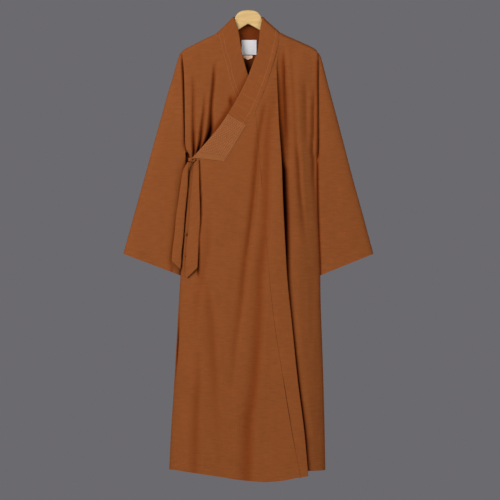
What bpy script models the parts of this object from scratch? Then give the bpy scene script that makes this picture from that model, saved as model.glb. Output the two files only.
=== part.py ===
"""Long robe with a crossed collar, hanging closed on a wooden hanger.

Sizes are in millimetres and turn into metres where the meshes are made. X runs to the viewer's
right, Y away from the viewer and Z up. The origin is the top of the hanger's head, where a hook's
shank screws in. Sides in names are the wearer's, so the left front hangs on the viewer's right.
"""

import math

import bmesh
import bpy
import numpy as np

MM = 0.001

# Cloth
CLOTH = 1.5              # wall of one layer
BAND = 3.0               # wall of the doubled collar band and straps
LABEL = 1.0              # wall of the label and the tag
SEAM = 0.4               # gap between two pieces along a seam
RIDGE = 0.55             # middle of each wall from the plane where front and back meet

# Body
SIDE_POWER = 6           # how squarely the front and back round off at the sides
SHOULDER_RADIUS = 12.0   # rounding over the hanger's arms
ARMHOLE_EDGE = 11.0      # depth of the front's and back's edge where a sleeve enters
FREE_EDGE_GAP = 4.0      # outer front over under front at the overlap's free edge
GAP_REACH = 70.0         # how far in from the sides the gap between the fronts grows
NECK_POINT_X = 93.0      # where collar, shoulder and back meet
RIGHT_TIP_X = -198.0     # shoulder tips
LEFT_TIP_X = 207.0
SEAM_FOOT_X = 148.0      # foot of the centre-front seam
LEFT_NECK_Z = -67.0      # top of the left front at the collar seam
LEFT_HEM_Z = -1390.0     # hem of the left front at the side, before the fold lifts it
RIGHT_HEM_Z = -1377.0
ARMPIT_Z = -446.0
ARMPIT_ROWS = (-400.0, -418.0, -432.0, -441.0, -447.0)
OVER_ROWS = (0.0, 1.0, 3.5, 7.5, 13.0, 24.0, 42.0)   # rows over the shoulder, from its top line
HEM_ROW = 20.0           # last row above each hem
SIDE_COLUMNS = (14.0, 8.0, 3.0, 0.8, 0.0)            # columns beside a side seam
FREE_EDGE_INSET = 3.5    # the overlap's free edge from the side of the body
FREE_EDGE_START = 12.0   # how soon the free edge reaches that line, as a divisor of its length
SLIT_DEPTH = 3.0         # the free edge curves in here
SLIT_Z = -1010.0
SLIT_REACH = 90.0

# Collar
COLLAR_JOIN_Z = -300.0   # where the centre-front seam meets the collar seam
JOIN_EDGE_Z = -313.0     # where the stitched end starts, at the free edge and at the seam
JOIN_SEAM_Z = -347.0
END_EDGE_Z = -443.0      # where it ends
END_SEAM_Z = -454.0
UNDER_END_EDGE_Z = -390.0                            # where the hidden end of the under collar is cut off
UNDER_END_SEAM_Z = -440.0
STITCH_ROWS = 53         # rows across the stitched end of the collar
STITCH_HEIGHT = 0.6
STITCH_SHARE = 0.87      # share of that length that the rows fill
BACK_COLLAR_HALF = 44.0  # half width of the back collar's top edge
BACK_COLLAR_DEPTH = 15.5
BACK_COLLAR_TOP = -20.0

# Big fold in the left front
FOLD_WIDTH = 9.0
FOLD_ROLL = 1.2
RIDGE_REACH = 70.0       # how far the ridge beside the fold spreads towards the centre
SEAM_STILL = 14.0        # next to its seam the cloth is not shifted
HEM_STEP = 11.0          # the hem behind the fold hangs this much higher
FOLD_COLUMNS = (-27.0, -19.0, -13.0, -9.0, -6.0, -3.0, 0.0, 3.0, 6.0, 9.0, 13.0, 19.0, 27.0)
FOLD_TOP_X = 104.0       # where the fold's line starts on the shoulder and ends at the hem
FOLD_HEM_Z = -1391.0
FOLD_ROOM = (50.0, 40.0) # with less room beside the fold than this, its columns draw together

# Hanger
HANGER_THICK = 13.0
HANGER_BEVEL = 3.0
HANGER_TILT = 1.0        # degrees, wearer's left arm up
SOCKET_DIAMETER = 4.0
SOCKET_DEPTH = 25.0


def smooth(keys, values, at):
    """Read a curve that passes each row and never overshoots between two of them."""
    step = np.diff(keys)
    slope = np.diff(values) / step
    tangent = np.empty(len(keys))
    tangent[0], tangent[-1] = slope[0], slope[-1]
    before, after = slope[:-1], slope[1:]
    turns = before * after <= 0
    safe_before, safe_after = np.where(turns, 1, before), np.where(turns, 1, after)
    weight_before, weight_after = 2 * step[1:] + step[:-1], step[1:] + 2 * step[:-1]
    mean = (weight_before + weight_after) / (weight_before / safe_before + weight_after / safe_after)
    tangent[1:-1] = np.where(turns, 0, mean)
    at = np.clip(at, keys[0], keys[-1])
    row = np.clip(np.searchsorted(keys, at, side="right") - 1, 0, len(step) - 1)
    t = (at - keys[row]) / step[row]
    rise = values[row + 1] - values[row]
    start, end = tangent[row] * step[row], tangent[row + 1] * step[row]
    return values[row] + t * (start + t * (3 * rise - 2 * start - end + t * (start + end - 2 * rise)))


class Table:
    """Rows under named columns, read between rows by the first column."""

    def __init__(self, names, *rows):
        self.names = names.split()
        self.rows = np.array(sorted(rows), dtype=float)

    def at(self, name, key):
        return smooth(self.rows[:, 0], self.rows[:, self.names.index(name)], np.asarray(key, float))


# Outline of the body from the armholes down the side seams, and the back's own edge on the wearer's
# right, where the tie draws the fronts in.
SIDES = Table(
    "z left right",
    (-122, -198, 208), (-269, -195, 208.3), (-359, -192, 208.5), (-400, -189.5, 208.5),
    (-412, -187, 208.5), (-442, -174, 208.5), (-460, -175.5, 208.7), (-490, -178.5, 209),
    (-590, -186, 210.5), (-680, -193, 213), (-764, -199.5, 216), (-870, -206.6, 217.3),
    (-1006, -214.4, 221.9), (-1141, -222.2, 226.3), (-1276, -231, 229.5), (-1380, -236, 231.5),
)
BACK_SIDE = Table(
    "z left",
    (-122, -198), (-269, -195), (-359, -192), (-410, -189), (-450, -187), (-500, -186.5),
    (-590, -188.5), (-680, -194), (-764, -199.5), (-870, -206.6), (-1006, -214.4),
    (-1141, -222.2), (-1276, -231), (-1380, -236),
)

# Highest line of the cloth: shoulders, then the collar standing up to the hanger's head.
TOP_LINE = Table(
    "x z",
    (-206, -136), (-198, -124), (-167, -106), (-120, -82), (-95, -70), (-85, -62), (-68, -46),
    (-50, -28), (-43, -21.5), (-38, -20.5), (38, -20.5), (45, -21.5), (51, -28), (71, -46),
    (89, -62), (101, -70), (140, -88), (167, -100), (202, -118), (209, -126), (216, -136),
)

# Seam between the back panel and the back collar.
NECK_SEAM = Table(
    "x z", (-93, -69), (-80, -78), (-50, -84.5), (0, -86.5), (50, -84.5), (80, -78), (94, -67.5),
)

# Depth of each layer from the plane of the side seams, and the outer front's gap over the under one.
DEPTHS = Table(
    "z under gap back",
    (-70, 13, 1.5, 12), (-150, 13.5, 5, 14), (-190, 14, 6.5, 15), (-260, 15, 9, 16),
    (-350, 16.5, 12, 17), (-600, 21, 12, 20), (-1000, 28, 12, 24), (-1400, 34, 12, 26),
)

# Edge of the front and back: open at the armholes, closed below them.
ARMHOLES = Table(
    "z edge",
    (-1400, RIDGE), (ARMPIT_Z, RIDGE), (-438, 4), (-428, 7), (-415, 9), (-390, 10.3),
    (-350, ARMHOLE_EDGE), (-60, ARMHOLE_EDGE),
)

# Seams that join the collar to the fronts, and the collar's free inner edges.
OUTER_COLLAR = Table(
    "z seam edge",
    (-21.5, 93, 43), (-66, 93, 35), (-80, 94.5, 34), (-122, 86, 29), (-157, 76.5, 16),
    (-203, 62, -3), (-249, 44.5, -26), (-302, 20, -57), (-352, -11, -95), (-398, -38, -133),
    (-443, -64, -168), (-456, -73, -178),
)
UNDER_COLLAR = Table(
    "z seam edge",
    (-21.5, -92.5, -43), (-59, -92.5, -30), (-70, -92, -27.5), (-84, -85, -25), (-122, -78, -19),
    (-161, -64.5, -10), (-211, -54, 6), (-240, -44, 20), (-290, -25, 50), (-340, 4, 78),
    (-390, 34, 100), (-440, 60, 120),
)
CENTRE_SEAM = Table(
    "z x", (-300, 22), (-695, 56), (-887, 73), (-1082, 102), (-1271, 131), (-1400, 148),
)
UNDER_EDGE = Table("z x", (-440, 60), (-600, 70), (-1000, 80), (-1390, 90))

# The overlap's upper edge, close under the lower end of the collar.
OVERLAP_TOP = ((-172, -445.5), (-167, -443.6), (-120, -449), (-73, -457))

# Hems: the lower edges seen from the front.
FRONT_HEM = Table(
    "x z", (-236, -1375), (-166, -1384.5), (-94, -1395), (2, -1409), (50, -1412), (98, -1408.5),
    (148, -1398.5),
)
BACK_HEM = Table("x z", (-236, -1375), (0, -1396), (231, -1379))

# The big fold: its place, how far the cloth folds over, and how high its ridge stands.
FOLD = Table(
    "z x over ridge",
    (-75, 100, 0, 0), (-140, 88, 3, 3), (-200, 85, 8, 8), (-311, 86, 12, 12), (-449, 93, 14, 14),
    (-600, 99, 15, 14), (-711, 106, 13, 12), (-800, 113, 10, 10), (-926, 128, 7, 8),
    (-1117, 148, 6, 8), (-1271, 167, 6, 8), (-1385, 176, 9, 10),
)

# Soft troughs of the outer front, of the under front and of the back: the way down each, its width
# and its depth.
TROUGH = "z x width depth"
OUTER_TROUGHS = (
    Table(TROUGH, (-230, 70, 10, 0), (-327, 61, 12, 4), (-400, 53, 13, 6), (-565, 53, 13, 6),
          (-784, 39, 14, 6), (-1049, 15, 14, 6), (-1199, -4, 15, 7), (-1402, 0, 16, 7)),
    Table(TROUGH, (-310, 44, 8, 0), (-393, 33, 8, 6), (-492, 26, 8, 7), (-594, 11, 8, 7),
          (-802, -16, 8, 6), (-974, -33, 8, 4), (-1140, -54, 8, 0)),
    Table(TROUGH, (-130, 104, 7, 0), (-180, 107, 8, 4), (-240, 112, 8, 4), (-300, 116, 8, 0)),
    Table(TROUGH, (-280, 136, 8, 0), (-400, 148, 8, 5), (-465, 149, 7, 7), (-565, 154, 7, 7),
          (-615, 160, 7, 6), (-680, 168, 8, 0)),
    Table(TROUGH, (-290, 193, 6, 0), (-340, 193.5, 6, 5), (-436, 195, 6, 5), (-565, 199, 6, 0)),
    Table(TROUGH, (-790, -138, 10, 0), (-911, -111, 11, 5), (-1012, -101, 11, 5),
          (-1199, -86, 11, 4), (-1310, -74, 11, 0)),
    Table(TROUGH, (-1040, -149, 8, 0), (-1106, -146, 8, 4), (-1162, -153, 8, 5), (-1400, -158, 8, 5)),
)
UNDER_TROUGHS = (
    Table(TROUGH, (-110, -94, 8, 0), (-218, -103, 8, 5), (-300, -110, 9, 7), (-350, -117, 12, 9),
          (-386, -124, 10, 8), (-420, -140, 7, 5), (-446, -160, 5, 1)),
    Table(TROUGH, (-320, -136, 6, 0), (-350, -141, 6, 5), (-400, -149, 6, 6), (-425, -155, 5, 4),
          (-450, -166, 4, 0)),
    Table(TROUGH, (-210, -163, 7, 0), (-300, -165, 7, 3), (-364, -167, 7, 5), (-420, -164, 6, 5),
          (-450, -167, 4, 0)),
)
BACK_TROUGHS = (
    Table(TROUGH, (-180, -120, 14, 0), (-400, -132, 16, 5), (-800, -128, 18, 7), (-1400, -140, 22, 8)),
    Table(TROUGH, (-330, -30, 14, 0), (-600, -38, 18, 5), (-1000, -34, 20, 7), (-1400, -44, 24, 9)),
    Table(TROUGH, (-150, 70, 12, 0), (-420, 62, 16, 6), (-900, 60, 18, 7), (-1400, 70, 22, 9)),
    Table(TROUGH, (-260, 150, 12, 0), (-520, 148, 14, 5), (-1000, 152, 18, 6), (-1400, 160, 20, 7)),
)

# Sleeves: the upper fold from the shoulder tip to the cuff, the under edge from the armpit, how far the
# flat tube hangs behind the body's middle plane, and half the tube's thickness.
SLEEVE = "along outer_x outer_z inner_x inner_z back half"
RIGHT_SLEEVE = Table(
    SLEEVE,
    (0, -193, -126, -188, -424, 0, 8), (0.02, -202, -135.18, -190.5, -432.06, 0, 8.27),
    (0.04, -209.5, -145, -192, -440, 0, 8.5), (0.06, -214, -156.73, -191.91, -447.54, 0, 8.64),
    (0.08, -217.45, -169.83, -191.67, -454.85, 0, 8.75), (0.12, -224, -197, -191, -470, 0, 9),
    (0.2, -240.5, -250, -189, -505, 1.5, 10), (0.35, -265.5, -340, -187.81, -557.37, 8.16, 10.75),
    (0.5, -290.51, -429.94, -188.55, -612.27, 10.66, 11.5),
    (0.65, -315.45, -520.2, -191.48, -668.38, 11.15, 12.25), (0.8, -341, -611, -195, -723, 11.5, 13),
    (0.92, -360.85, -683.05, -198.25, -767.08, 11.8, 13.6), (1, -374, -731, -200.5, -796.5, 12, 14),
)
LEFT_SLEEVE = Table(
    SLEEVE,
    (0, 203, -126, 204, -424, 0, 8), (0.02, 211.99, -135.21, 208.34, -431.99, 0.01, 8.57),
    (0.04, 219.5, -145, 211, -440, 0.05, 9), (0.1, 232.06, -181.91, 211.28, -464.7, 0.31, 9.5),
    (0.2, 247, -250, 211.5, -505, 1.06, 10), (0.35, 271.13, -340.26, 212.54, -557.41, 2.35, 10.76),
    (0.5, 294.41, -429.94, 214.14, -612.3, 3, 11.5), (0.65, 318.22, -520.2, 216.21, -668.39, 3, 12.25),
    (0.8, 343.5, -611, 218.5, -723, 3, 13), (0.92, 363.05, -683.05, 220.3, -766.8, 3, 13.6),
    (1, 376, -731, 221.5, -796, 3, 14),
)
SLEEVE_POWER = 5

# Straps below the knot: both edges on the way down, and the depth of each edge.
SHORT_STRAP = Table(
    "z left right left_depth right_depth",
    (-457, -181, -173, 23, 24), (-481, -194, -179, 20, 22), (-526, -202, -180.5, 20, 22),
    (-576, -209, -185.5, 20, 22), (-613, -214.5, -189, 20, 22), (-671, -220, -193, 20, 22),
    (-728, -227, -199, 20, 22), (-757, -229, -200, 20, 22),
)
LONG_STRAP = Table(
    "z left right left_depth right_depth",
    (-447, -160, -147.5, 29, 33), (-467, -163, -146, 28, 33), (-518, -166, -146, 28, 34),
    (-575, -173, -144, 28, 36), (-614, -174, -143, 28, 37), (-671, -180, -147, 29, 37),
    (-714, -184.5, -148.5, 29, 37), (-772, -186.5, -151.5, 30, 37), (-797, -187, -152, 30, 37),
)
STRAP_BULGE = 1.5

KNOT_PLACE = (-169, -24.5, -449.5)
KNOT_HALF = (10.5, 6.5, 8.0)
KNOT_GROOVE = 0.14       # depth of the groove between the knot's turns, as a share of its size
BUTTON_RADIUS = 4.5
BUTTON_PLACES = {"tie_button_upper": (-185.5, -20.5, -671), "tie_button_lower": (-187.5, -22.4, -734)}

# Label and tag on the inside of the back: left, right, top, bottom and the lowest point.
LABEL_BOX = (-19.5, 25, -88.5, -133, -133)
TAG_BOX = (-13.5, 13.5, -135, -142, -148)
LABEL_OFFSET = 1.8       # middle of the label in front of the middle of the back

# Half outline of the hanger before it is tilted: over the head and down the arm, and its underside.
HANGER_TOP = Table(
    "x z", (0, 0), (14, -1.0), (25, -4.5), (32, -10), (37, -17), (41, -26), (45, -36), (52, -45),
    (66, -57), (80, -66), (95, -73.5), (140, -95.5), (167, -108), (184, -116.5),
)
HANGER_UNDER = Table(
    "x z", (0, -41), (10, -46.5), (37, -62), (95, -94), (140, -117), (170, -131), (182, -134.5),
)
HANGER_TIP = (189, -127)

COLOURS = {
    "cloth": ((0.26, 0.083, 0.030, 1), 0.85),
    "collar": ((0.25, 0.078, 0.027, 1), 0.85),
    "stitched": ((0.30, 0.105, 0.038, 1), 0.8),
    "label": ((0.64, 0.60, 0.60, 1), 0.6),
    "tag": ((0.50, 0.30, 0.20, 1), 0.7),
    "wood": ((0.70, 0.48, 0.22, 1), 0.4),
}


def ramp(value):
    """Ease from 0 to 1 as value goes from 0 to 1."""
    value = np.clip(value, 0, 1)
    return value * value * (3 - 2 * value)


def blend(start, end, share):
    return start + (end - start) * share


def rounding(x, z, left_side=SIDES):
    """Fall from 1 in the middle of the body to 0 at its sides."""
    left, right = left_side.at("left", z), SIDES.at("right", z)
    across = np.clip(np.abs((2 * x - left - right) / (right - left)), 0, 1)
    return np.sqrt(1 - across ** SIDE_POWER)


def over_shoulder(x, z):
    """Rise from 0 on the top line to 1 below the shoulder's rounding."""
    below = np.clip((TOP_LINE.at("z", x) - z) / SHOULDER_RADIUS, 0, 1)
    return np.sqrt(1 - (1 - below) ** 2)


def layer_depth(name, x, z, left_side=SIDES):
    """Depth of a plain layer, "under" or "back", from the plane of the side seams."""
    edge = ARMHOLES.at("edge", z)
    depth = blend(edge, DEPTHS.at(name, z), rounding(x, z, left_side))
    return blend(RIDGE, depth, over_shoulder(x, z))


def outer_depth(x, z):
    """Depth of the outer front before its folds."""
    from_left = blend(FREE_EDGE_GAP, DEPTHS.at("gap", z), ramp((x - SIDES.at("left", z)) / GAP_REACH))
    from_right = ramp((SIDES.at("right", z) - x) / GAP_REACH)
    gap = np.minimum(from_left, DEPTHS.at("gap", z) * from_right)
    return layer_depth("under", x, z) + gap * over_shoulder(x, z)


def troughs(tables, x, z):
    """Total depth of the soft troughs at each point."""
    total = np.zeros(np.broadcast(x, z).shape)
    for table in tables:
        across = (x - table.at("x", z)) / table.at("width", z)
        total += table.at("depth", z) * np.exp(-across ** 2)
    return total


def outer_relief(x, z):
    """How far the outer front stands out of its plain form: ridge, big fold and troughs."""
    away = (x - FOLD.at("x", z)) / FOLD_WIDTH
    roll = (1 - np.tanh(FOLD_ROLL * away)) / 2
    reach = np.exp(-np.where(away < 0, away * FOLD_WIDTH / RIDGE_REACH, 0) ** 2)
    return FOLD.at("ridge", z) * roll * reach - troughs(OUTER_TROUGHS, x, z)


def fold_shift(x, z):
    """Sideways shift that lays the cloth left of the big fold over the cloth right of it."""
    away = (x - FOLD.at("x", z)) / FOLD_WIDTH
    off_seam = ramp((x - front_seam_x(z)) / SEAM_STILL)
    return -FOLD.at("over", z) * away * np.exp((1 - away ** 2) / 2) * off_seam


def coons(top, bottom, left, right):
    """Fill four edges, each an array of x, z and share, with a grid of rows from top to bottom."""
    u, v = top[None, :, 2:], left[:, None, 2:]
    top, bottom, left, right = (edge[:, :2] for edge in (top, bottom, left, right))
    corners = ((1 - u) * (1 - v) * top[0] + u * (1 - v) * top[-1]
               + (1 - u) * v * bottom[0] + u * v * bottom[-1])
    return (1 - v) * top + v * bottom + (1 - u) * left[:, None] + u * right[:, None] - corners


def curve(x, z, share):
    """One edge for coons: places and the share of the way along at each."""
    x, z, share = np.broadcast_arrays(x, z, share)
    return np.stack([x, z, share], axis=-1).astype(float)


def shares(length, near_start, near_end, inner):
    """Shares of a length: set distances near each end, and even steps between."""
    start = np.array(near_start, float) / length
    end = 1 - np.array(near_end[::-1], float) / length
    between = np.linspace(start[-1], end[0], inner + 2)[1:-1]
    return np.concatenate([start, between, end])


def placed(flat, y):
    """Points from a grid of x and z and their y."""
    return np.stack([flat[..., 0], y, flat[..., 1]], axis=-1)


def grid_normals(points, closed):
    """Unit normals of a grid, out of the front of a panel whose rows run down and columns right."""
    if closed:
        across = np.roll(points, -1, axis=1) - np.roll(points, 1, axis=1)
    else:
        across = np.gradient(points, axis=1)
    normal = np.cross(np.gradient(points, axis=0), across)
    return normal / np.linalg.norm(normal, axis=-1, keepdims=True)


def material(name):
    colour, roughness = COLOURS[name]
    made = bpy.data.materials.get(name)
    if made is None:
        made = bpy.data.materials.new(name)
        made.use_nodes = True
        shader = made.node_tree.nodes["Principled BSDF"]
        shader.inputs["Base Color"].default_value = colour
        shader.inputs["Roughness"].default_value = roughness
        shader.inputs["Metallic"].default_value = 0.0
        made.diffuse_color = colour
    return made


def add_object(name, vertices, faces, finish, angle=35):
    """Make one named object from points in millimetres, placed by its location."""
    vertices = np.asarray(vertices, float).reshape(-1, 3)
    centre = vertices.mean(axis=0)
    mesh = bpy.data.meshes.new(name)
    mesh.from_pydata(((vertices - centre) * MM).tolist(), [], faces)
    mesh.shade_smooth()
    mesh.set_sharp_from_angle(angle=math.radians(angle))
    mesh.materials.append(material(finish))
    made = bpy.data.objects.new(name, mesh)
    made.location = centre * MM
    bpy.context.collection.objects.link(made)
    return made


def wall(name, middle, thickness, finish, closed=False, raised=0.0):
    """Thicken a grid of points into a closed wall, with its outer face raised where asked."""
    rows, columns = middle.shape[:2]
    normals = grid_normals(middle, closed)
    outer = middle + normals * (thickness / 2 + np.asarray(raised)[..., None])
    inner = middle - normals * thickness / 2
    index = np.arange(rows * columns).reshape(rows, columns)
    if closed:
        index = np.hstack([index, index[:, :1]])
    far = rows * columns
    a, b, c, d = index[:-1, :-1], index[1:, :-1], index[1:, 1:], index[:-1, 1:]
    faces = np.stack([a, b, c, d], axis=-1).reshape(-1, 4).tolist()
    faces += (np.stack([d, c, b, a], axis=-1) + far).reshape(-1, 4).tolist()
    loops = [index[0], index[-1][::-1]]
    if not closed:
        loops += [index[::-1, 0], index[:, -1]]
    for loop in loops:
        faces += [[p, q, q + far, p + far] for p, q in zip(loop[:-1].tolist(), loop[1:].tolist())]
    return add_object(name, np.concatenate([outer.reshape(-1, 3), inner.reshape(-1, 3)]), faces, finish)


def side_curve(table, side, top_z, bottom_z, share):
    z = blend(top_z, bottom_z, share)
    return curve(table.at(side, z), z, share)


def front_seam_x(z):
    """Inner edge of the left front: the collar seam, then the centre-front seam."""
    return np.where(z > COLLAR_JOIN_Z, OUTER_COLLAR.at("seam", z), CENTRE_SEAM.at("x", z))


def panel_rows(top_z, hem_z, upper_step, lower_step):
    """Shares of the way down a side edge: close over the shoulder and where the armhole closes."""
    over = top_z - np.array(OVER_ROWS)
    upper = np.linspace(over[-1], ARMPIT_ROWS[0], int((over[-1] - ARMPIT_ROWS[0]) / upper_step) + 2)[1:-1]
    above_hem = hem_z + HEM_ROW
    lower_count = int((ARMPIT_ROWS[-1] - above_hem) / lower_step) + 2
    lower = np.linspace(ARMPIT_ROWS[-1], above_hem, lower_count)[1:]
    rows = np.concatenate([over, upper, ARMPIT_ROWS, lower, [hem_z]])
    return (top_z - rows) / (top_z - hem_z)


def left_front_rows():
    """Shares of the way down the left front, and the height of each row at its inner edge."""
    down = panel_rows(TOP_LINE.at("z", LEFT_TIP_X), LEFT_HEM_Z, 60, 95)
    inner_z = blend(LEFT_NECK_Z, FRONT_HEM.at("z", SEAM_FOOT_X), down)
    inner_z[np.argmin(np.abs(inner_z - COLLAR_JOIN_Z))] = COLLAR_JOIN_Z
    return down, inner_z


def right_front_rows():
    """Shares of the way down the right front, and the height of each row at its inner edge."""
    down = panel_rows(TOP_LINE.at("z", RIGHT_TIP_X), RIGHT_HEM_Z, 36, 160)
    return down, blend(TOP_LINE.at("z", -NECK_POINT_X), RIGHT_HEM_Z, down)


def left_front():
    """The front from the centre-front seam to the wearer's left side, with the big fold."""
    tip_z = TOP_LINE.at("z", LEFT_TIP_X)
    down, left_z = left_front_rows()
    left = np.stack([front_seam_x(left_z) + SEAM, left_z], axis=-1)
    fold_z = blend(TOP_LINE.at("z", FOLD_TOP_X), FOLD_HEM_Z, down)
    fold = np.stack([FOLD.at("x", fold_z), fold_z], axis=-1)
    right_z = blend(tip_z, LEFT_HEM_Z, down)
    right = np.stack([SIDES.at("right", right_z), right_z], axis=-1)
    near = np.array(FOLD_COLUMNS)
    rows = []
    for start, middle, end in zip(left, fold, right):
        room_left, room_right = middle[0] - start[0], end[0] - middle[0]
        tight_left, tight_right = min(1, room_left / FOLD_ROOM[0]), min(1, room_right / FOLD_ROOM[1])
        offsets = np.where(near < 0, near * tight_left, near * tight_right)
        x = np.concatenate([
            np.linspace(start[0], middle[0] + offsets[0], 6)[:-1],
            middle[0] + offsets,
            np.linspace(middle[0] + offsets[-1], end[0] - SIDE_COLUMNS[0], 7)[1:-1],
            end[0] - np.array(SIDE_COLUMNS),
        ])
        z = np.interp(x, [start[0], middle[0], end[0]], [start[1], middle[1], end[1]])
        rows.append(np.stack([x, z], axis=-1))
    flat = np.array(rows)
    flat[0, :, 1] = np.minimum(TOP_LINE.at("z", flat[0, :, 0]), LEFT_NECK_Z)
    x, z = flat[..., 0].copy(), flat[..., 1]
    y = -(outer_depth(x, z) + outer_relief(x, z) * over_shoulder(x, z))
    step = (1 + np.tanh(FOLD_ROLL * 2 * (x - FOLD.at("x", z)) / FOLD_WIDTH)) / 2
    flat[..., 0] = x + fold_shift(x, z)
    flat[..., 1] = z + HEM_STEP * step * down[:, None]
    wall("left_front", placed(flat, y), CLOTH, "cloth")


def collar_seam_points():
    """The overlap's upper edge: under the collar's end, then up along the collar seam."""
    z = np.linspace(OVERLAP_TOP[-1][1] + 3, COLLAR_JOIN_Z, 12)
    seam = np.stack([OUTER_COLLAR.at("seam", z) + 1.5 * SEAM, z - SEAM], axis=-1)
    return np.concatenate([OVERLAP_TOP, seam])


def overlap_panel():
    """The sloped panel that crosses from the centre-front seam to the wearer's right."""
    down = shares(1000, [0, 8, 25], [0, 20], 15)
    across = shares(380, [0, 3, 8, 16], [0, 4], 29)
    upper = collar_seam_points()
    length = np.concatenate([[0], np.cumsum(np.linalg.norm(np.diff(upper, axis=0), axis=1))])
    upper_x = np.interp(across * length[-1], length, upper[:, 0])
    upper_z = np.interp(across * length[-1], length, upper[:, 1])
    left_z = blend(upper[0, 1], FRONT_HEM.at("z", SIDES.rows[0, 1] + FREE_EDGE_INSET), down)
    side_x = SIDES.at("left", left_z) + FREE_EDGE_INSET
    left_x = blend(upper[0, 0], side_x, ramp(down * FREE_EDGE_START))
    slit = SLIT_DEPTH * np.exp(-((left_z - SLIT_Z) / SLIT_REACH) ** 2)
    right_z = blend(upper[-1, 1], FRONT_HEM.at("z", SEAM_FOOT_X), down)
    bottom_x = blend(left_x[-1], SEAM_FOOT_X - SEAM, across)
    flat = coons(
        curve(upper_x, upper_z, across),
        curve(bottom_x, FRONT_HEM.at("z", bottom_x), across),
        curve(left_x + slit, left_z, down),
        curve(CENTRE_SEAM.at("x", right_z) - SEAM, right_z, down),
    )
    x, z = flat[..., 0], flat[..., 1]
    wall("overlap_panel", placed(flat, -(outer_depth(x, z) + outer_relief(x, z))), CLOTH, "cloth")


def right_front():
    """The front under the overlap, seen at the chest on the wearer's right."""
    tip_z, hem_z = TOP_LINE.at("z", RIGHT_TIP_X), RIGHT_HEM_Z
    down, right_z = right_front_rows()
    across = shares(185, [0, 0.8, 3, 8, 15], [0, 5], 13)
    top_x = blend(RIGHT_TIP_X, -NECK_POINT_X, across)
    above = right_z > UNDER_END_SEAM_Z
    seam_x = np.where(above, UNDER_COLLAR.at("seam", right_z), UNDER_EDGE.at("x", right_z))
    bottom_x = blend(SIDES.at("left", hem_z), UNDER_EDGE.at("x", hem_z), across)
    flat = coons(
        curve(top_x, TOP_LINE.at("z", top_x), across),
        curve(bottom_x, np.full(len(across), hem_z), across),
        side_curve(SIDES, "left", tip_z, hem_z, down),
        curve(seam_x - SEAM, right_z, down),
    )
    x, z = flat[..., 0], flat[..., 1]
    depth = layer_depth("under", x, z) - troughs(UNDER_TROUGHS, x, z) * over_shoulder(x, z)
    wall("right_front", placed(flat, -depth), CLOTH, "cloth")


def back_panel():
    """The back, from shoulder to hem and from side seam to side seam."""
    right_hem_x, left_hem_x = SIDES.rows[0, 1], SIDES.rows[0, 2]
    right_hem_z, left_hem_z = BACK_HEM.at("z", right_hem_x), BACK_HEM.at("z", left_hem_x)
    down = panel_rows(TOP_LINE.at("z", RIGHT_TIP_X), right_hem_z, 100, 150)
    neck_half = np.array([0, 26, 50, 70, 84, 90, NECK_POINT_X])
    outward = np.array([0.06, 0.2, 0.4, 0.62, 0.82, 0.92, 0.97, 0.993, 1])
    left_x, right_x = blend(-NECK_POINT_X, RIGHT_TIP_X, outward), blend(NECK_POINT_X, LEFT_TIP_X, outward)
    top_x = np.concatenate([left_x[::-1], -neck_half[:0:-1], neck_half, right_x])
    across = (top_x - top_x[0]) / (top_x[-1] - top_x[0])
    neck = np.abs(top_x) < NECK_POINT_X
    top_z = np.where(neck, NECK_SEAM.at("z", top_x) - SEAM, TOP_LINE.at("z", top_x))
    bottom_x = blend(right_hem_x, left_hem_x, across)
    flat = coons(
        curve(top_x, top_z, across),
        curve(bottom_x, BACK_HEM.at("z", bottom_x), across),
        side_curve(BACK_SIDE, "left", top_z[0], right_hem_z, down),
        side_curve(SIDES, "right", top_z[-1], left_hem_z, down),
    )
    x, z = flat[..., 0], flat[..., 1]
    plain = layer_depth("back", x, z, BACK_SIDE)
    depth = plain - troughs(BACK_TROUGHS, x, z) * over_shoulder(x, z)
    wall("back_panel", placed(flat, depth), CLOTH, "cloth")


def sleeve(name, table, mirror):
    """One wide sleeve: a flat tube from inside the armhole to the open cuff."""
    half_turn = np.linspace(0, math.pi, 12)[1:-1]
    edge = (1 - np.cos(half_turn)) / 2
    across = np.concatenate([[0], edge, [1], edge[::-1]])
    side = np.concatenate([[0], np.full(len(edge), -1.0), [0], np.full(len(edge), 1.0)])
    if mirror:
        side = -side
    column = {key: table.rows[:, place, None] for place, key in enumerate(table.names)}
    x = blend(column["outer_x"], column["inner_x"], across)
    z = blend(column["outer_z"], column["inner_z"], across)
    bulge = (1 - np.abs(2 * across - 1) ** SLEEVE_POWER) ** 0.5
    y = column["back"] + column["half"] * side * bulge
    wall(name, placed(np.stack([x, z], axis=-1), y), CLOTH, "cloth", closed=True)


def band(name, table, start_z, end_z, seam_z, finish, depth, steps=4, raised=0.0):
    """A length of the front collar, from the heights of its free edge's ends and of its seam's rows."""
    across = np.linspace(0, 1, steps + 1)
    rows = (seam_z[0] - seam_z) / (seam_z[0] - seam_z[-1])
    edge_z = blend(start_z, end_z, rows)
    edge_x, seam_x = table.at("edge", edge_z), table.at("seam", seam_z)
    top_x = blend(edge_x[0], seam_x[0], across)
    at_neck = edge_z[0] > TOP_LINE.at("z", NECK_POINT_X)
    top_z = TOP_LINE.at("z", top_x) if at_neck else blend(edge_z[0], seam_z[0], across)
    flat = coons(
        curve(top_x, top_z, across),
        curve(blend(edge_x[-1], seam_x[-1], across), blend(edge_z[-1], seam_z[-1], across), across),
        curve(edge_x, edge_z, rows),
        curve(seam_x, seam_z, rows),
    )
    flat[..., 0] += SEAM / 2 * np.sign(edge_x[0] - seam_x[0]) * across
    x, z = flat[..., 0], flat[..., 1]
    wall(name, placed(flat, -(depth(x, z, across) + (BAND - CLOTH) / 2)), BAND, finish, raised=raised)


def outer_band_depth(x, z, across):
    """The outer collar lies flat at its edge and follows the front's folds at its seam."""
    return outer_depth(x, z) + outer_relief(x, z) * over_shoulder(x, z) * across


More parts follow.
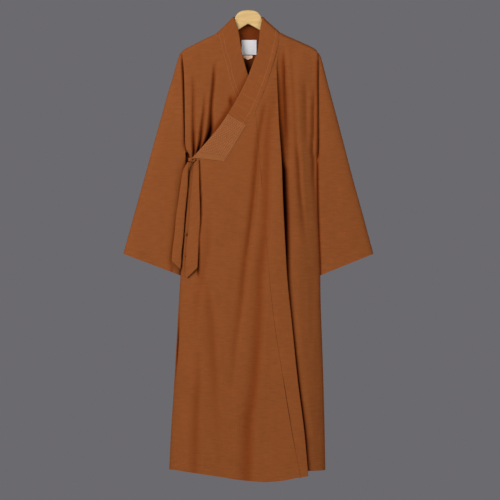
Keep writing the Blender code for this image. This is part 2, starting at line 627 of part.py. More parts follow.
def under_band_depth(x, z, across):
    return layer_depth("under", x, z) - troughs(UNDER_TROUGHS, x, z) * over_shoulder(x, z) * across


def front_collar():
    """The outer band with its stitched end, and the under band."""
    neck_z = TOP_LINE.at("z", NECK_POINT_X)
    rows_z = left_front_rows()[1]
    rows_z = rows_z[rows_z >= COLLAR_JOIN_Z]
    top_edge_z = OUTER_COLLAR.rows[-1, 0]
    above, below = SEAM / 2, -SEAM / 2
    last_z = [blend(COLLAR_JOIN_Z, JOIN_SEAM_Z, 0.5), JOIN_SEAM_Z + above]
    seam_z = np.concatenate([[neck_z], rows_z, last_z])
    band("collar_left", OUTER_COLLAR, top_edge_z, JOIN_EDGE_Z + above, seam_z, "collar", outer_band_depth)
    rows = np.linspace(0, STITCH_SHARE, 2 * STITCH_ROWS + 1)
    ribs = np.where(np.arange(len(rows)) % 2, STITCH_HEIGHT, 0.0)
    rows = np.concatenate([rows, [blend(STITCH_SHARE, 1, 0.5), 1]])
    seam_z = blend(JOIN_SEAM_Z + below, END_SEAM_Z, rows)
    band("collar_stitched", OUTER_COLLAR, JOIN_EDGE_Z + below, END_EDGE_Z, seam_z, "stitched",
         outer_band_depth, steps=2, raised=np.concatenate([ribs, [0, 0]])[:, None])
    rows_z = right_front_rows()[1]
    seam_z = np.append(rows_z[rows_z > UNDER_END_SEAM_Z + 10], UNDER_END_SEAM_Z)
    band("collar_right", UNDER_COLLAR, top_edge_z, UNDER_END_EDGE_Z, seam_z, "collar", under_band_depth)


def collar_back():
    """The length of the collar that stands up round the back of the neck."""
    turn = np.sin(np.linspace(-math.pi / 2, math.pi / 2, 17))
    up = np.array([0, 0.35, 0.7, 1])[:, None]
    seam_x, top_x = (NECK_POINT_X - SEAM) * turn, BACK_COLLAR_HALF * turn
    seam_z = NECK_SEAM.at("z", seam_x) + SEAM
    seam_y = layer_depth("back", seam_x, seam_z)
    top_y = np.maximum(RIDGE, BACK_COLLAR_DEPTH * np.sqrt(1 - np.abs(turn) ** SIDE_POWER))
    x = blend(top_x, seam_x, up)
    straight = blend(np.full(len(turn), BACK_COLLAR_TOP), seam_z, up)
    z = blend(straight, TOP_LINE.at("z", x), np.abs(turn) ** SIDE_POWER)
    y = blend(top_y, seam_y, up)
    wall("collar_back", np.stack([x, y, z], axis=-1), BAND, "collar")


def strap(name, table, top, bottom, tip):
    """A hanging strap with a pointed end, given the z of its left and right edge at top and bottom."""
    across = np.array([0, 0.25, 0.5, 0.75, 1])
    down = np.linspace(0, 1, 11)
    left_z, right_z = (blend(top[side], bottom[side], down) for side in (0, 1))
    left_x, right_x = table.at("left", left_z), table.at("right", right_z)
    share = (tip[0] - left_x[-1]) / (right_x[-1] - left_x[-1])
    if 0.3 < share < 0.7:
        across[2] = share
    else:
        across = np.sort(np.append(across, share))
    bottom_x = blend(left_x[-1], right_x[-1], across)
    flat = coons(
        curve(blend(left_x[0], right_x[0], across), blend(left_z[0], right_z[0], across), across),
        curve(bottom_x, np.interp(across, [0, share, 1], [left_z[-1], tip[1], right_z[-1]]), across),
        curve(left_x, left_z, down),
        curve(right_x, right_z, down),
    )
    z = flat[..., 1]
    depth = blend(table.at("left_depth", z), table.at("right_depth", z), across)
    depth += STRAP_BULGE * (1 - (2 * across - 1) ** 2)
    wall(name, placed(flat, -depth), BAND, "cloth")


def lump(name, place, half, rings, turns, groove=0.0):
    """A closed rounded lump, with a slanted groove between two turns of cloth where asked."""
    ball = bmesh.new()
    bmesh.ops.create_uvsphere(ball, u_segments=turns, v_segments=rings, radius=1.0)
    points = np.array([vertex.co[:] for vertex in ball.verts])
    points *= 1 - groove * np.cos(math.tau * (points[:, :1] + points[:, 2:]))
    faces = [[vertex.index for vertex in face.verts] for face in ball.faces]
    ball.free()
    add_object(name, np.array(place) + points * np.array(half), faces, "cloth", angle=60)


def label(name, box, finish):
    """A small sewn piece on the inside of the back."""
    left, right, top, bottom, point = box
    across = np.linspace(0, 1, 5)
    lower = np.interp(across, [0, 0.5, 1], [bottom, point, bottom])
    x = blend(left, right, across)[None, :].repeat(4, axis=0)
    z = blend(top, lower[None, :], np.linspace(0, 1, 4)[:, None])
    y = layer_depth("back", x, z) - LABEL_OFFSET
    wall(name, np.stack([x, y, z], axis=-1), LABEL, finish)


def hanger():
    """The wooden hanger: one shaped board with rounded edges and a hole for the hook's shank."""
    top_x = np.array([0, 8, 16, 23, 29, 33.5, 37, 39.5, 42, 45, 50, 58, 68, 80, 100, 130, 160, 176, 184])
    under_x = np.array([182, 165, 140, 110, 80, 50, 30, 15, 6, 0])
    half = [(x, float(HANGER_TOP.at("z", x))) for x in top_x] + [HANGER_TIP]
    half += [(x, float(HANGER_UNDER.at("z", x))) for x in under_x]
    outline = np.array(half + [(-x, z) for x, z in half[-2:0:-1]])
    tilt = math.radians(HANGER_TILT)
    x = outline[:, 0] * math.cos(tilt) - outline[:, 1] * math.sin(tilt)
    z = outline[:, 0] * math.sin(tilt) + outline[:, 1] * math.cos(tilt)
    z -= z[0]
    x -= x[0]
    count = len(x)
    faces = [list(range(count)), list(range(2 * count - 1, count - 1, -1))]
    faces += [[i, i + count, (i + 1) % count + count, (i + 1) % count] for i in range(count)]
    front = np.stack([x, np.full(count, -HANGER_THICK / 2), z], axis=-1)
    made = add_object("hanger", np.concatenate([front, front + [0, HANGER_THICK, 0]]), faces, "wood")
    bevel = made.modifiers.new("rounded edges", "BEVEL")
    bevel.width = HANGER_BEVEL * MM
    bevel.segments = 2
    bevel.limit_method = "ANGLE"
    bevel.angle_limit = math.radians(40)
    drill = bmesh.new()
    bmesh.ops.create_cone(drill, cap_ends=True, segments=16, radius1=SOCKET_DIAMETER / 2 * MM,
                          radius2=SOCKET_DIAMETER / 2 * MM, depth=2 * SOCKET_DEPTH * MM)
    mesh = bpy.data.meshes.new("hook_drill")
    drill.to_mesh(mesh)
    drill.free()
    cutter = bpy.data.objects.new("hook_drill", mesh)
    bpy.context.collection.objects.link(cutter)
    cutter.hide_render = True
    cutter.display_type = "WIRE"
    hole = made.modifiers.new("hook socket", "BOOLEAN")
    hole.operation = "DIFFERENCE"
    hole.object = cutter


def build():
    for old in list(bpy.data.objects):
        bpy.data.objects.remove(old, do_unlink=True)
    back_panel()
    left_front()
    overlap_panel()
    right_front()
    sleeve("right_sleeve", RIGHT_SLEEVE, mirror=False)
    sleeve("left_sleeve", LEFT_SLEEVE, mirror=True)
    front_collar()
    collar_back()
    strap("tie_short", SHORT_STRAP, (-457, -457.5), (-751, -757), (-203, -777))
    strap("tie_long", LONG_STRAP, (-459, -447), (-797, -772), (-181.5, -802))
    lump("tie_knot", KNOT_PLACE, KNOT_HALF, 10, 14, KNOT_GROOVE)
    for name, place in BUTTON_PLACES.items():
        lump(name, place, (BUTTON_RADIUS,) * 3, 6, 8)
    label("neck_label", LABEL_BOX, "label")
    label("size_tag", TAG_BOX, "tag")
    hanger()


build()
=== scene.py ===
"""Looks of a long robe with a crossed collar, hanging closed on a wooden hanger.

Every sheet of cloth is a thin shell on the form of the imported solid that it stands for. Sizes in
the tables are in millimetres and turn into metres where the meshes are made. X runs to the viewer's
right, Y away from the viewer and Z up. Sides in names are the wearer's.
"""

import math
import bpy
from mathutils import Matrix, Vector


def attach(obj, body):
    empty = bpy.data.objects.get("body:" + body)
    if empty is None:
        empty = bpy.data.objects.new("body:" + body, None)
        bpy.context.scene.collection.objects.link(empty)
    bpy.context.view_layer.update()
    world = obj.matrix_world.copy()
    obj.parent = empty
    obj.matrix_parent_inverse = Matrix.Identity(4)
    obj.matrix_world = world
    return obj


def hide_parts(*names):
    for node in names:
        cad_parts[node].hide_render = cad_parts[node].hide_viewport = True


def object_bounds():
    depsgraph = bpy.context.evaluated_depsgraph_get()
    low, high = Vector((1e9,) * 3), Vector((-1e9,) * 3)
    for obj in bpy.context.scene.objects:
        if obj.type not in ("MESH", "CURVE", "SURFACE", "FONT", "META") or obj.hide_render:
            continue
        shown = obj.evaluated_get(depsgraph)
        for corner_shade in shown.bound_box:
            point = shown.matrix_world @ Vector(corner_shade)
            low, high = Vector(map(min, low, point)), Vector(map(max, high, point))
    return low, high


bl_info = {
    "name": "Crossed-collar robe on a hanger",
    "version": (1, 0, 0),
    "blender": (4, 5, 0),
    "location": "View3D > Sidebar > Robe",
    "description": "Dresses the packed robe and hanger with cloth, stitches, ties, labels and wood",
    "category": "Object",
}

import bpy
import numpy as np
from bpy.props import FloatProperty, FloatVectorProperty, IntProperty, PointerProperty
from mathutils import Vector

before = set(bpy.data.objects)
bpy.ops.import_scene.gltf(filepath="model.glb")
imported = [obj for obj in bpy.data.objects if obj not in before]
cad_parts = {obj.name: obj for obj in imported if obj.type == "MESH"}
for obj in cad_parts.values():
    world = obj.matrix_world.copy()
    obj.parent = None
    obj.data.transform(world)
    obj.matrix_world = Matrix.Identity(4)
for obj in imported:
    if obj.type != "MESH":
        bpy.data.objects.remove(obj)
CAD_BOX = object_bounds()

MM = 0.001

# ---------------------------------------------------------------- form of the robe

RIDGE = 0.2              # middle of each wall from the plane where front and back meet
SIDE_POWER = 6           # how squarely the front and back round off at the sides
SHOULDER_RADIUS = 12.0
ARMHOLE_EDGE = 11.0      # depth of the front's and back's edge where a sleeve enters
FREE_EDGE_GAP = 4.0
GAP_REACH = 70.0
RIGHT_TIP_X, LEFT_TIP_X = -198, 207      # where the shoulders meet the sleeves
NECK_POINT_X = 93.0
LEFT_NECK_Z = -67.0
LEFT_HEM_Z = -1390.0
RIGHT_HEM_Z = -1377.0
ARMPIT_Z = -446.0
COLLAR_JOIN_Z = -300.0                   # where the collar's seam meets the centre-front seam
COLLAR_END_Z = -454.0
UNDER_COLLAR_END_Z = -440.0
STITCH_ROWS = 53
END_STITCH = 1.8         # stitches of the end, as a multiple of the others
STITCH_SHARE = 0.87      # share of the stitched end that its rows of stitches fill
# Painted shade between the stitched end's rows is this strong at most.
END_SHADE = 0.07
BACK_COLLAR_HALF = 44.0
BACK_COLLAR_DEPTH = 15.5
BACK_COLLAR_TOP = -20.0
SEAM = 0.05              # from a seam's line to the cloth on either side of it

FOLD_WIDTH = 9.0
FOLD_ROLL = 1.2
FOLD_TOP_X, FOLD_HEM_Z = 104, -1391.0
FOLD_ROOM = (50, 40)                     # where the panel is narrower, the fold's columns draw in
RIDGE_REACH = 70.0
SEAM_STILL = 14.0                        # the fold's sideways shift fades out this near the seam
HEM_STEP = 11.0                          # how much higher the hem hangs beyond the fold
HEM_TURN, CUFF_TURN = 24.0, 28.0         # height of the turned hems and of the turned cuffs
STRAP_TURN = 3.2
SLEEVE_LENGTH = 655.0
SLEEVE_DIP_Z = -135
LABEL_WALL = 0.8
ROW_STEP = 7.0
SHARP_ANGLE = math.radians(50)


def smooth(keys, values, at):
    """Read a curve that passes each row and never overshoots between two of them."""
    step = np.diff(keys)
    slope = np.diff(values) / step
    tangent = np.empty(len(keys))
    tangent[0], tangent[-1] = slope[0], slope[-1]
    before, after = slope[:-1], slope[1:]
    turns = before * after <= 0
    safe_before, safe_after = np.where(turns, 1, before), np.where(turns, 1, after)
    weight_before, weight_after = 2 * step[1:] + step[:-1], step[1:] + 2 * step[:-1]
    mean = (weight_before + weight_after) / (weight_before / safe_before + weight_after / safe_after)
    tangent[1:-1] = np.where(turns, 0, mean)
    at = np.clip(at, keys[0], keys[-1])
    row = np.clip(np.searchsorted(keys, at, side="right") - 1, 0, len(step) - 1)
    t = (at - keys[row]) / step[row]
    rise = values[row + 1] - values[row]
    start, end = tangent[row] * step[row], tangent[row + 1] * step[row]
    return values[row] + t * (start + t * (3 * rise - 2 * start - end + t * (start + end - 2 * rise)))


class Table:
    """Rows under named columns, read between rows by the first column."""

    def __init__(self, names, *rows):
        self.names = names.split()
        self.rows = np.array(sorted(rows), dtype=float)

    def at(self, name, key):
        return smooth(self.rows[:, 0], self.rows[:, self.names.index(name)], np.asarray(key, float))


SIDES = Table(
    "z left right",
    (-122, -198, 208), (-150, -194.5, 208), (-200, -191, 208), (-269, -189.3, 208.3),
    (-359, -188.3, 208.5), (-400, -187.7, 208.5), (-412, -186.3, 208.5), (-442, -174, 208.5),
    (-460, -175.5, 208.7), (-490, -178.5, 209), (-590, -186, 210.5), (-680, -193, 213),
    (-764, -199.5, 216), (-870, -206.6, 217.3), (-1006, -214.4, 221.9), (-1141, -222.2, 226.3),
    (-1276, -231, 229.5), (-1380, -236, 231.5),
)
BACK_LEFT = Table(
    "z left",
    (-122, -198), (-269, -195), (-359, -192), (-410, -189), (-450, -187), (-500, -186.5),
    (-590, -188.5), (-680, -194), (-764, -199.5), (-870, -206.6), (-1006, -214.4),
    (-1141, -222.2), (-1276, -231), (-1380, -236),
)
TOP_LINE = Table(
    "x z",
    (-206, -136), (-198, -124), (-167, -106), (-120, -82), (-95, -70), (-85, -62), (-68, -46),
    (-50, -28), (-43, -21.5), (-38, -20.5), (38, -20.5), (45, -21.5), (51, -28), (71, -46),
    (89, -62), (101, -70), (140, -88), (167, -100), (202, -118), (209, -126), (216, -136),
)
NECK_SEAM = Table(
    "x z",
    (-93, -69), (-80, -78), (-50, -84.5), (0, -86.5), (50, -84.5), (80, -78), (94, -67.5),
)
DEPTHS = Table(
    "z under gap back",
    (-70, 13, 1.5, 12), (-150, 13.5, 5, 14), (-190, 14, 6.5, 15), (-260, 15, 9, 16),
    (-350, 16.5, 12, 17), (-600, 21, 12, 20), (-1000, 28, 12, 24), (-1400, 34, 12, 26),
)
ARMHOLES = Table(
    "z edge",
    (-1400, RIDGE), (ARMPIT_Z, RIDGE), (-438, 4), (-428, 7), (-415, 9), (-390, 10.3),
    (-350, ARMHOLE_EDGE), (-60, ARMHOLE_EDGE),
)
OUTER_COLLAR = Table(
    "z seam edge",
    (-21.5, 93, 43), (-66, 93, 35), (-80, 94.5, 34), (-122, 86, 29), (-157, 76.5, 16),
    (-203, 62, -1.5), (-249, 46, -23.5), (-302, 23, -53.5), (-352, -8, -87), (-398, -36, -125.5),
    (-443, -63, -166), (-456, -73, -178),
)
UNDER_COLLAR = Table(
    "z seam edge",
    (-21.5, -92.5, -43), (-59, -92.5, -30), (-70, -92, -27.5), (-84, -85, -25), (-122, -78, -19),
    (-161, -64.5, -10), (-211, -54, 6), (-240, -44, 20), (-290, -25, 50), (-340, 4, 78),
    (-390, 34, 100), (-440, 60, 120),
)
CENTRE_SEAM = Table("z x", (-300, 22), (-695, 56), (-887, 73), (-1082, 102), (-1271, 133), (-1400, 158))
CENTRE_HEM_X = 157.6
UNDER_EDGE = Table("z x", (-440, 60), (-600, 70), (-1000, 80), (-1390, 90))
OVERLAP_TOP = ((-172, -443.6), (-168, -443.1), (-71.5, -454.2))
FRONT_HEM = Table(
    "x z",
    (-236, -1375), (-166, -1384.5), (-94, -1395), (2, -1409), (50, -1412), (98, -1408.5),
    (148, -1398.5),
)
BACK_HEM = Table("x z", (-236, -1375), (0, -1396), (231, -1379))
BACK_HEM_X = (-236, 231.5)
# dark and pocket give the strength and the width of the shade painted in the big fold's pocket.
FOLD = Table(
    "z x over ridge valley dark pocket",
    (-75, 100, 0, 0, 0, 0, 0.6), (-140, 88, 3, 3, 1, 0.05, 0.7), (-200, 85, 8, 8, 2, 0.15, 0.9),
    (-311, 86, 12, 12, 4, 0.45, 1.2), (-400, 90, 14, 14, 6, 0.8, 1.3),
    (-449, 92.5, 15, 16, 8, 1.1, 1.3), (-490, 93.5, 16, 17, 9, 1.4, 1.6),
    (-600, 97.5, 16, 17, 9, 1.4, 1.6), (-711, 105, 14, 14, 8, 1.4, 1.3),
    (-800, 112, 12, 11, 6, 1.4, 1.0), (-926, 126.5, 10, 9, 4, 1.4, 0.8),
    (-1117, 147, 9, 8, 3, 1.4, 0.8), (-1271, 166.5, 9, 8, 3, 1.4, 0.8), (-1385, 176, 10, 9, 3, 1.4, 0.8),
)
# Painted shadow along the outer collar's upper edge, on the cloth that goes in under it, by height.
COLLAR_SHADE = Table(
    "z dark", (-440, 0), (-400, 0.14), (-345, 0.3), (-280, 0.25), (-210, 0.14), (-150, 0),
)
# Painted shade on the turned allowances of the fronts' seams, by height.
SEAM_DARK = Table("z dark", (-1400, 0.8), (-820, 0.8), (-760, 0.2), (-480, 0.1), (-440, 0), (-60, 0))
# Troughs also darken the cloth with painted shade in proportion to their depth.
FULL_SHADE_DEPTH = 50.0      # an outer trough this deep is painted wholly dark
UNDER_FULL_SHADE_DEPTH = 26.0
TROUGH_RELIEF = 0.6      # share of a trough's table depth that is form; all of it sets the trough's painted shade
TROUGH_SHIFT = 5.0
TROUGH_LEAN = 0.25
# Painted shadow beside the long strap's right edge, by height.
STRAP_DARK = Table(
    "z dark",
    (-800, 0), (-781, 0.9), (-730, 0.75), (-682, 0.2), (-631, 0.45), (-580, 0.6), (-532, 0.55),
    (-481, 0.2), (-450, 0),
)
# Painted shade along the wearer's left side of the outer front, by height.
LEFT_SIDE_DARK = Table(
    "z dark", (-800, 0.1), (-700, 0.35), (-560, 0.6), (-420, 0.35), (-165, 0.3), (-130, 0),
)
TROUGH = "z x width depth"
OUTER_TROUGHS = (
    Table(TROUGH, (-110, 106, 5, 0), (-170, 108, 5, 10), (-300, 111, 5, 12), (-400, 115, 6, 8),
          (-480, 120, 6, 0)),
    Table(TROUGH, (-230, 70, 12, 0), (-301, 64, 12, 5), (-400, 58, 13, 8), (-526, 56, 13, 9),
          (-661, 51, 13, 9), (-800, 38, 14, 9), (-931, 33, 15, 9), (-1066, 24, 16, 10),
          (-1150, 16, 17, 10), (-1230, 4, 18, 11), (-1402, -1, 19, 10)),
    Table(TROUGH, (-270, 50, 8, 0), (-301, 46, 8, 6), (-391, 31, 9, 9), (-526, 19, 9, 12),
          (-661, 4, 9, 11), (-751, -8, 10, 9), (-886, -23, 11, 7), (-1000, -38, 11, 4),
          (-1140, -54, 11, 1)),
    Table(TROUGH, (-130, 104, 8, 0), (-180, 108, 9, 5), (-240, 112, 10, 7), (-340, 117, 10, 7),
          (-460, 124, 9, 0)),
    Table(TROUGH, (-150, 130, 9, 0), (-211, 133, 8, 3), (-300, 138, 8, 4), (-391, 142, 8, 5),
          (-465, 149, 7, 9), (-526, 152, 7, 9), (-616, 160, 8, 5), (-720, 170, 10, 0)),
    Table(TROUGH, (-205, 168, 8, 0), (-256, 170, 7, 5), (-346, 171, 7, 4), (-430, 172, 8, 0)),
    Table(TROUGH, (-230, 196, 5, 0), (-301, 194, 5, 9), (-360, 193, 5, 9), (-420, 190, 5, 10),
          (-460, 194, 5, 10), (-500, 194, 5, 7), (-560, 197, 5, 3), (-640, 201, 6, 0)),
    Table(TROUGH, (-790, -138, 11, 0), (-841, -121, 13, 3), (-931, -109, 14, 5), (-1066, -101, 14, 6),
          (-1201, -93, 14, 3), (-1400, -84, 14, 1)),
    Table(TROUGH, (-1000, -150, 10, 0), (-1106, -148, 12, 5), (-1162, -152, 13, 7), (-1400, -158, 14, 7)),
    Table(TROUGH, (-560, -112, 14, 0), (-700, -118, 14, 3), (-860, -150, 12, 4), (-980, -160, 10, 0)),
)
UNDER_TROUGHS = (
    Table(TROUGH, (-150, -97, 7, 0), (-211, -102, 5, 8), (-300, -110, 5, 11), (-340, -111.5, 6.5, 16),
          (-376, -117, 7, 17), (-391, -122.5, 6, 15), (-430, -146, 5, 7), (-446, -158, 4, 1)),
    Table(TROUGH, (-240, -127, 6, 0), (-301, -131, 5, 5), (-345, -137, 5, 9), (-391, -142, 5, 13),
          (-425, -150, 4, 11), (-448, -162, 3, 0)),
    Table(TROUGH, (-180, -163, 7, 0), (-240, -162, 6, 4), (-345, -163, 5, 7), (-391, -162.5, 5, 12),
          (-425, -162, 4, 12), (-448, -166, 3, 0)),
)
BACK_TROUGHS = (
    Table(TROUGH, (-180, -120, 14, 0), (-400, -132, 16, 5), (-800, -128, 18, 7), (-1400, -140, 22, 8)),
    Table(TROUGH, (-330, -30, 14, 0), (-600, -38, 18, 5), (-1000, -34, 20, 7), (-1400, -44, 24, 9)),
    Table(TROUGH, (-150, 70, 12, 0), (-420, 62, 16, 6), (-900, 60, 18, 7), (-1400, 70, 22, 9)),
    Table(TROUGH, (-260, 150, 12, 0), (-520, 148, 14, 5), (-1000, 152, 18, 6), (-1400, 160, 20, 7)),
)
SLEEVE = "along outer_x outer_z inner_x inner_z back half"
RIGHT_SLEEVE = Table(
    SLEEVE,
    (0, -187, -125, -182, -424, 0, 10), (0.015, -203, -129.5, -188.5, -430, 0, 10),
    (0.04, -209, -145, -187.5, -440, 2, 10), (0.08, -217, -171, -187, -455, 3.5, 9.5),
    (0.12, -224, -197, -186.5, -470, 5, 9.5), (0.2, -240.5, -250, -186, -505, 7, 10),
    (0.3, -257, -310, -186, -540, 9, 10.5), (0.4, -274, -370, -186.5, -575, 10, 11),
    (0.6, -307, -490, -190, -650, 11, 12), (0.8, -341, -611, -194.5, -723, 11.5, 13),
    (1, -374, -731, -200, -796.5, 12, 14),
)
LEFT_SLEEVE = Table(
    SLEEVE,
    (0, 204, -125, 204, -424, 0, 10), (0.015, 213, -130.5, 207, -430, 0, 10),
    (0.04, 219.5, -145, 207, -440, 0.1, 10), (0.08, 226.5, -171, 206.5, -455, 0.4, 9.5),
    (0.12, 233, -197, 206.5, -470, 0.6, 9.5), (0.2, 247, -250, 207, -505, 1.1, 10),
    (0.4, 279, -370, 208, -575, 2.7, 11), (0.6, 310, -490, 210, -650, 3, 12),
    (0.8, 343.5, -611, 212.5, -723, 3, 13), (1, 376, -731, 215, -796, 3, 14),
)
SLEEVE_POWER = 5
ARMHOLE_DIPS = (13.0, 8.0)               # how deep each sleeve's front sinks at the armhole
ARMHOLE_DIP_REAR = 6.0
ARMHOLE_REACH = 5.0
# Painted shade in each armhole's crease, by height.
RIGHT_ARMHOLE_SHADE = Table("z dark", (-430, 0.5), (-340, 0.9), (-300, 1), (-165, 1), (-140, 0.3), (-125, 0))
LEFT_ARMHOLE_SHADE = Table("z dark", (-460, 0.7), (-400, 0.4), (-300, 0.15), (-165, 0.1), (-125, 0))
SHORT_STRAP = Table(
    "z left right left_depth right_depth",
    (-457, -181, -173, 23, 24), (-481, -194, -179, 19, 21), (-526, -202, -180.5, 16.5, 18.5),
    (-576, -209, -185.5, 15.5, 17.5), (-613, -214.5, -189, 15.5, 17), (-671, -220, -193, 15.5, 17),
    (-728, -227, -199, 15.5, 17), (-757, -229, -200, 15.5, 17),
)
LONG_STRAP = Table(
    "z left right left_depth right_depth",
    (-447, -160, -147.5, 26, 26), (-481, -163.5, -146, 24, 28), (-532, -168, -145.5, 24, 33),
    (-580, -173, -144, 24, 36), (-631, -175, -143.5, 24, 35), (-682, -181, -147, 25, 34),
    (-730, -185, -149, 25, 38), (-781, -187, -151.5, 26, 41), (-797, -187, -152, 26, 40),
)
KNOT_PLACE = (-169, -24.5, -449.5)
KNOT_HALF = (11.0, 7.0, 8.5)
BUTTON_RADIUS = 4.5
BUTTON_PLACES = {"upper": (-185.5, -20.5, -671), "lower": (-187.5, -22.4, -734)}


def ramp(value):
    """Ease from 0 to 1 as value goes from 0 to 1."""
    value = np.clip(value, 0, 1)
    return value * value * (3 - 2 * value)


def above(z, level, reach):
    """Rise from 0 at a level to 1 at reach over it."""
    return ramp((z - level) / reach)


def below(z, level, reach):
    """Rise from 0 at a level to 1 at reach under it."""
    return ramp((level - z) / reach)


def bell(x, middle, width, power=2):
    """1 in the middle, and 1/e at width from it."""
    return np.exp(-((x - middle) / width) ** power)


def blend(start, end, share):
    return start + (end - start) * share


def rounding(x, z, left=SIDES):
    """Fall from 1 in the middle of the body to 0 at its sides."""
    left, right = left.at("left", z), SIDES.at("right", z)
    across = np.clip(np.abs((2 * x - left - right) / (right - left)), 0, 1)
    return np.sqrt(1 - across ** SIDE_POWER)


def over_shoulder(x, z):
    """Rise from 0 on the top line to 1 below the shoulder's rounding."""
    below = np.clip((TOP_LINE.at("z", x) - z) / SHOULDER_RADIUS, 0, 1)
    return np.sqrt(1 - (1 - below) ** 2)


def layer_depth(name, x, z, left=SIDES):
    """Depth of a plain layer, "under" or "back", from the plane of the side seams."""
    depth = blend(ARMHOLES.at("edge", z), DEPTHS.at(name, z), rounding(x, z, left))
    return blend(RIDGE, depth, over_shoulder(x, z))


def outer_depth(x, z):
    """Depth of the outer front before its folds."""
    from_left = blend(FREE_EDGE_GAP, DEPTHS.at("gap", z), ramp((x - SIDES.at("left", z)) / GAP_REACH))
    from_right = ramp((SIDES.at("right", z) - x) / GAP_REACH)
    gap = np.minimum(from_left, DEPTHS.at("gap", z) * from_right)
    return layer_depth("under", x, z) + gap * over_shoulder(x, z)


def troughs(tables, x, z, lean=0.0):
    """Total depth of the soft troughs at each point; lean makes each wall on the low side longer."""
    total = np.zeros(np.broadcast(x, z).shape)
    for table in tables:
        across = (x - table.at("x", z)) / table.at("width", z)
        across = across / np.where(across < 0, 1 + lean, 1 - lean)
        total += table.at("depth", z) * np.exp(-across ** 2)
    return total


def outer_relief(x, z):
    """How far the outer front stands out of its plain form: ridge, big fold and troughs."""
    away = (x - FOLD.at("x", z)) / FOLD_WIDTH
    roll = (1 - np.tanh(FOLD_ROLL * away)) / 2
    reach = np.exp(-np.where(away < 0, away * FOLD_WIDTH / RIDGE_REACH, 0) ** 2)
    valley = FOLD.at("valley", z) * np.exp(-((away - 1.3) / 0.9) ** 2)
    soft = TROUGH_RELIEF * troughs(OUTER_TROUGHS, x - TROUGH_SHIFT, z, TROUGH_LEAN)
    return FOLD.at("ridge", z) * roll * reach - valley - soft


def fold_crease(x, z):
    """Painted shade on the outer front, from 0 up: in the big fold's pocket, along the wearer's left side and in
    the troughs.
    """
    away = (x - FOLD.at("x", z)) / FOLD_WIDTH
    width = FOLD.at("pocket", z)
    pocket = FOLD.at("dark", z) * np.exp(-((away - 0.3 - width / 2) / width) ** 4)
    side = LEFT_SIDE_DARK.at("dark", z) * bell(SIDES.at("right", z), x, 5.0)
    return pocket + side + troughs(OUTER_TROUGHS, x, z, TROUGH_LEAN) / FULL_SHADE_DEPTH


def beside_collar(x, z):
    """Shade on the cloth that goes in under the outer collar's upper edge."""
    away = (x - OUTER_COLLAR.at("edge", z) + 8) / 10.0
    return COLLAR_SHADE.at("dark", z) * np.exp(-np.where(away < 0, away, 0) ** 2)


def fold_shift(x, z):
    """Sideways shift that lays the cloth left of the big fold over the cloth right of it."""
    away = (x - FOLD.at("x", z)) / FOLD_WIDTH
    off_seam = ramp((x - front_seam_x(z)) / SEAM_STILL)
    return -FOLD.at("over", z) * away * np.exp((1 - away ** 2) / 2) * off_seam


def front_seam_x(z):
    """Inner edge of the left front: the collar seam, then the centre-front seam."""
    return np.where(z > COLLAR_JOIN_Z, OUTER_COLLAR.at("seam", z), CENTRE_SEAM.at("x", z))


def unevenness(x, z, seed, wide=34.0, tall=150.0):
    """Soft uneven swelling of hung cloth between -1 and 1, longer down the cloth than across."""
    chance = np.random.default_rng(seed).uniform(-1, 1, (64, 64))
    total = 0
    for size, share in ((1.0, 0.7), (0.43, 0.3)):
        u, v = np.asarray(x) / (wide * size) + 31.7, -np.asarray(z) / (tall * size) + 3.1
        i, j = np.floor(u).astype(int), np.floor(v).astype(int)
        s, t = u - i, v - j
        s, t = (w * w * w * (w * (6 * w - 15) + 10) for w in (s, t))
        low, high = (blend(*(chance[(i + a) % 64, (j + b) % 64] for a in (0, 1)), s) for b in (0, 1))
        total = total + share * blend(low, high, t)
    return total


# ---------------------------------------------------------------- grids and meshes

HEM_OFFSETS = (30, 26, 24.7, 24, 23.3, 22, 17, 11, 6, 3, 1.2, 0.4, 0)     # rows over a hem
OVER_OFFSETS = (0, 0.4, 1, 2, 3.5, 5.5, 7.5, 10, 13, 18, 24)              # rows under a shoulder
SIDE_OFFSETS = (11, 8, 5.5, 3.5, 2, 1, 0.4, 0.1, 0)                       # columns inside a side
FOLD_OFFSETS = np.concatenate([                                           # columns beside the fold
    np.linspace(-27, -15, 6)[:-1], np.linspace(-15, 18, 34), np.linspace(18, 27, 5)[1:],
])
SURFACES = {}            # outer face of each sheet, for the stitches


def fine(values, step):
    """Add even steps between sorted values, so that none is longer than step."""
    parts = []
    for a, b in zip(values[:-1], values[1:]):
        parts.append(np.linspace(a, b, max(1, math.ceil(abs(b - a) / step)) + 1)[:-1])
    return np.append(np.concatenate(parts), values[-1])


def coons(top, bottom, left, right, u, v):
    """Fill four edge curves, pairs of x and z, with a grid of rows from top to bottom."""
    top, bottom, left, right = (line(*edge) for edge in (top, bottom, left, right))
    u, v = u[None, :, None], v[:, None, None]
    corners = ((1 - u) * (1 - v) * top[0] + u * (1 - v) * top[-1]
               + (1 - u) * v * bottom[0] + u * v * bottom[-1])
    flat = (1 - v) * top + v * bottom + (1 - u) * left[:, None] + u * right[:, None] - corners
    return flat[..., 0], flat[..., 1]


def line(x, z):
    return np.stack(np.broadcast_arrays(x, z), axis=-1).astype(float)


def placed(x, z, y):
    return np.stack([x, y, z], axis=-1)


def distances(points):
    """Distance run along the first axis of an array of points, from 0."""
    steps = np.linalg.norm(np.diff(points, axis=0), axis=-1)
    return np.concatenate([np.zeros((1, *steps.shape[1:])), np.cumsum(steps, axis=0)])


def looped(grid):
    """A closed grid with its first column again at its end."""
    return np.concatenate([grid, grid[:, :1]], axis=1)


def grid_normals(points, closed=False):
    """Unit normals of a grid, out of the front of a panel whose rows run down and columns right."""
    if closed:
        across = np.roll(points, -1, axis=1) - np.roll(points, 1, axis=1)
    else:
        across = np.gradient(points, axis=1)
    normal = np.cross(np.gradient(points, axis=0), across)
    return normal / np.linalg.norm(normal, axis=-1, keepdims=True)


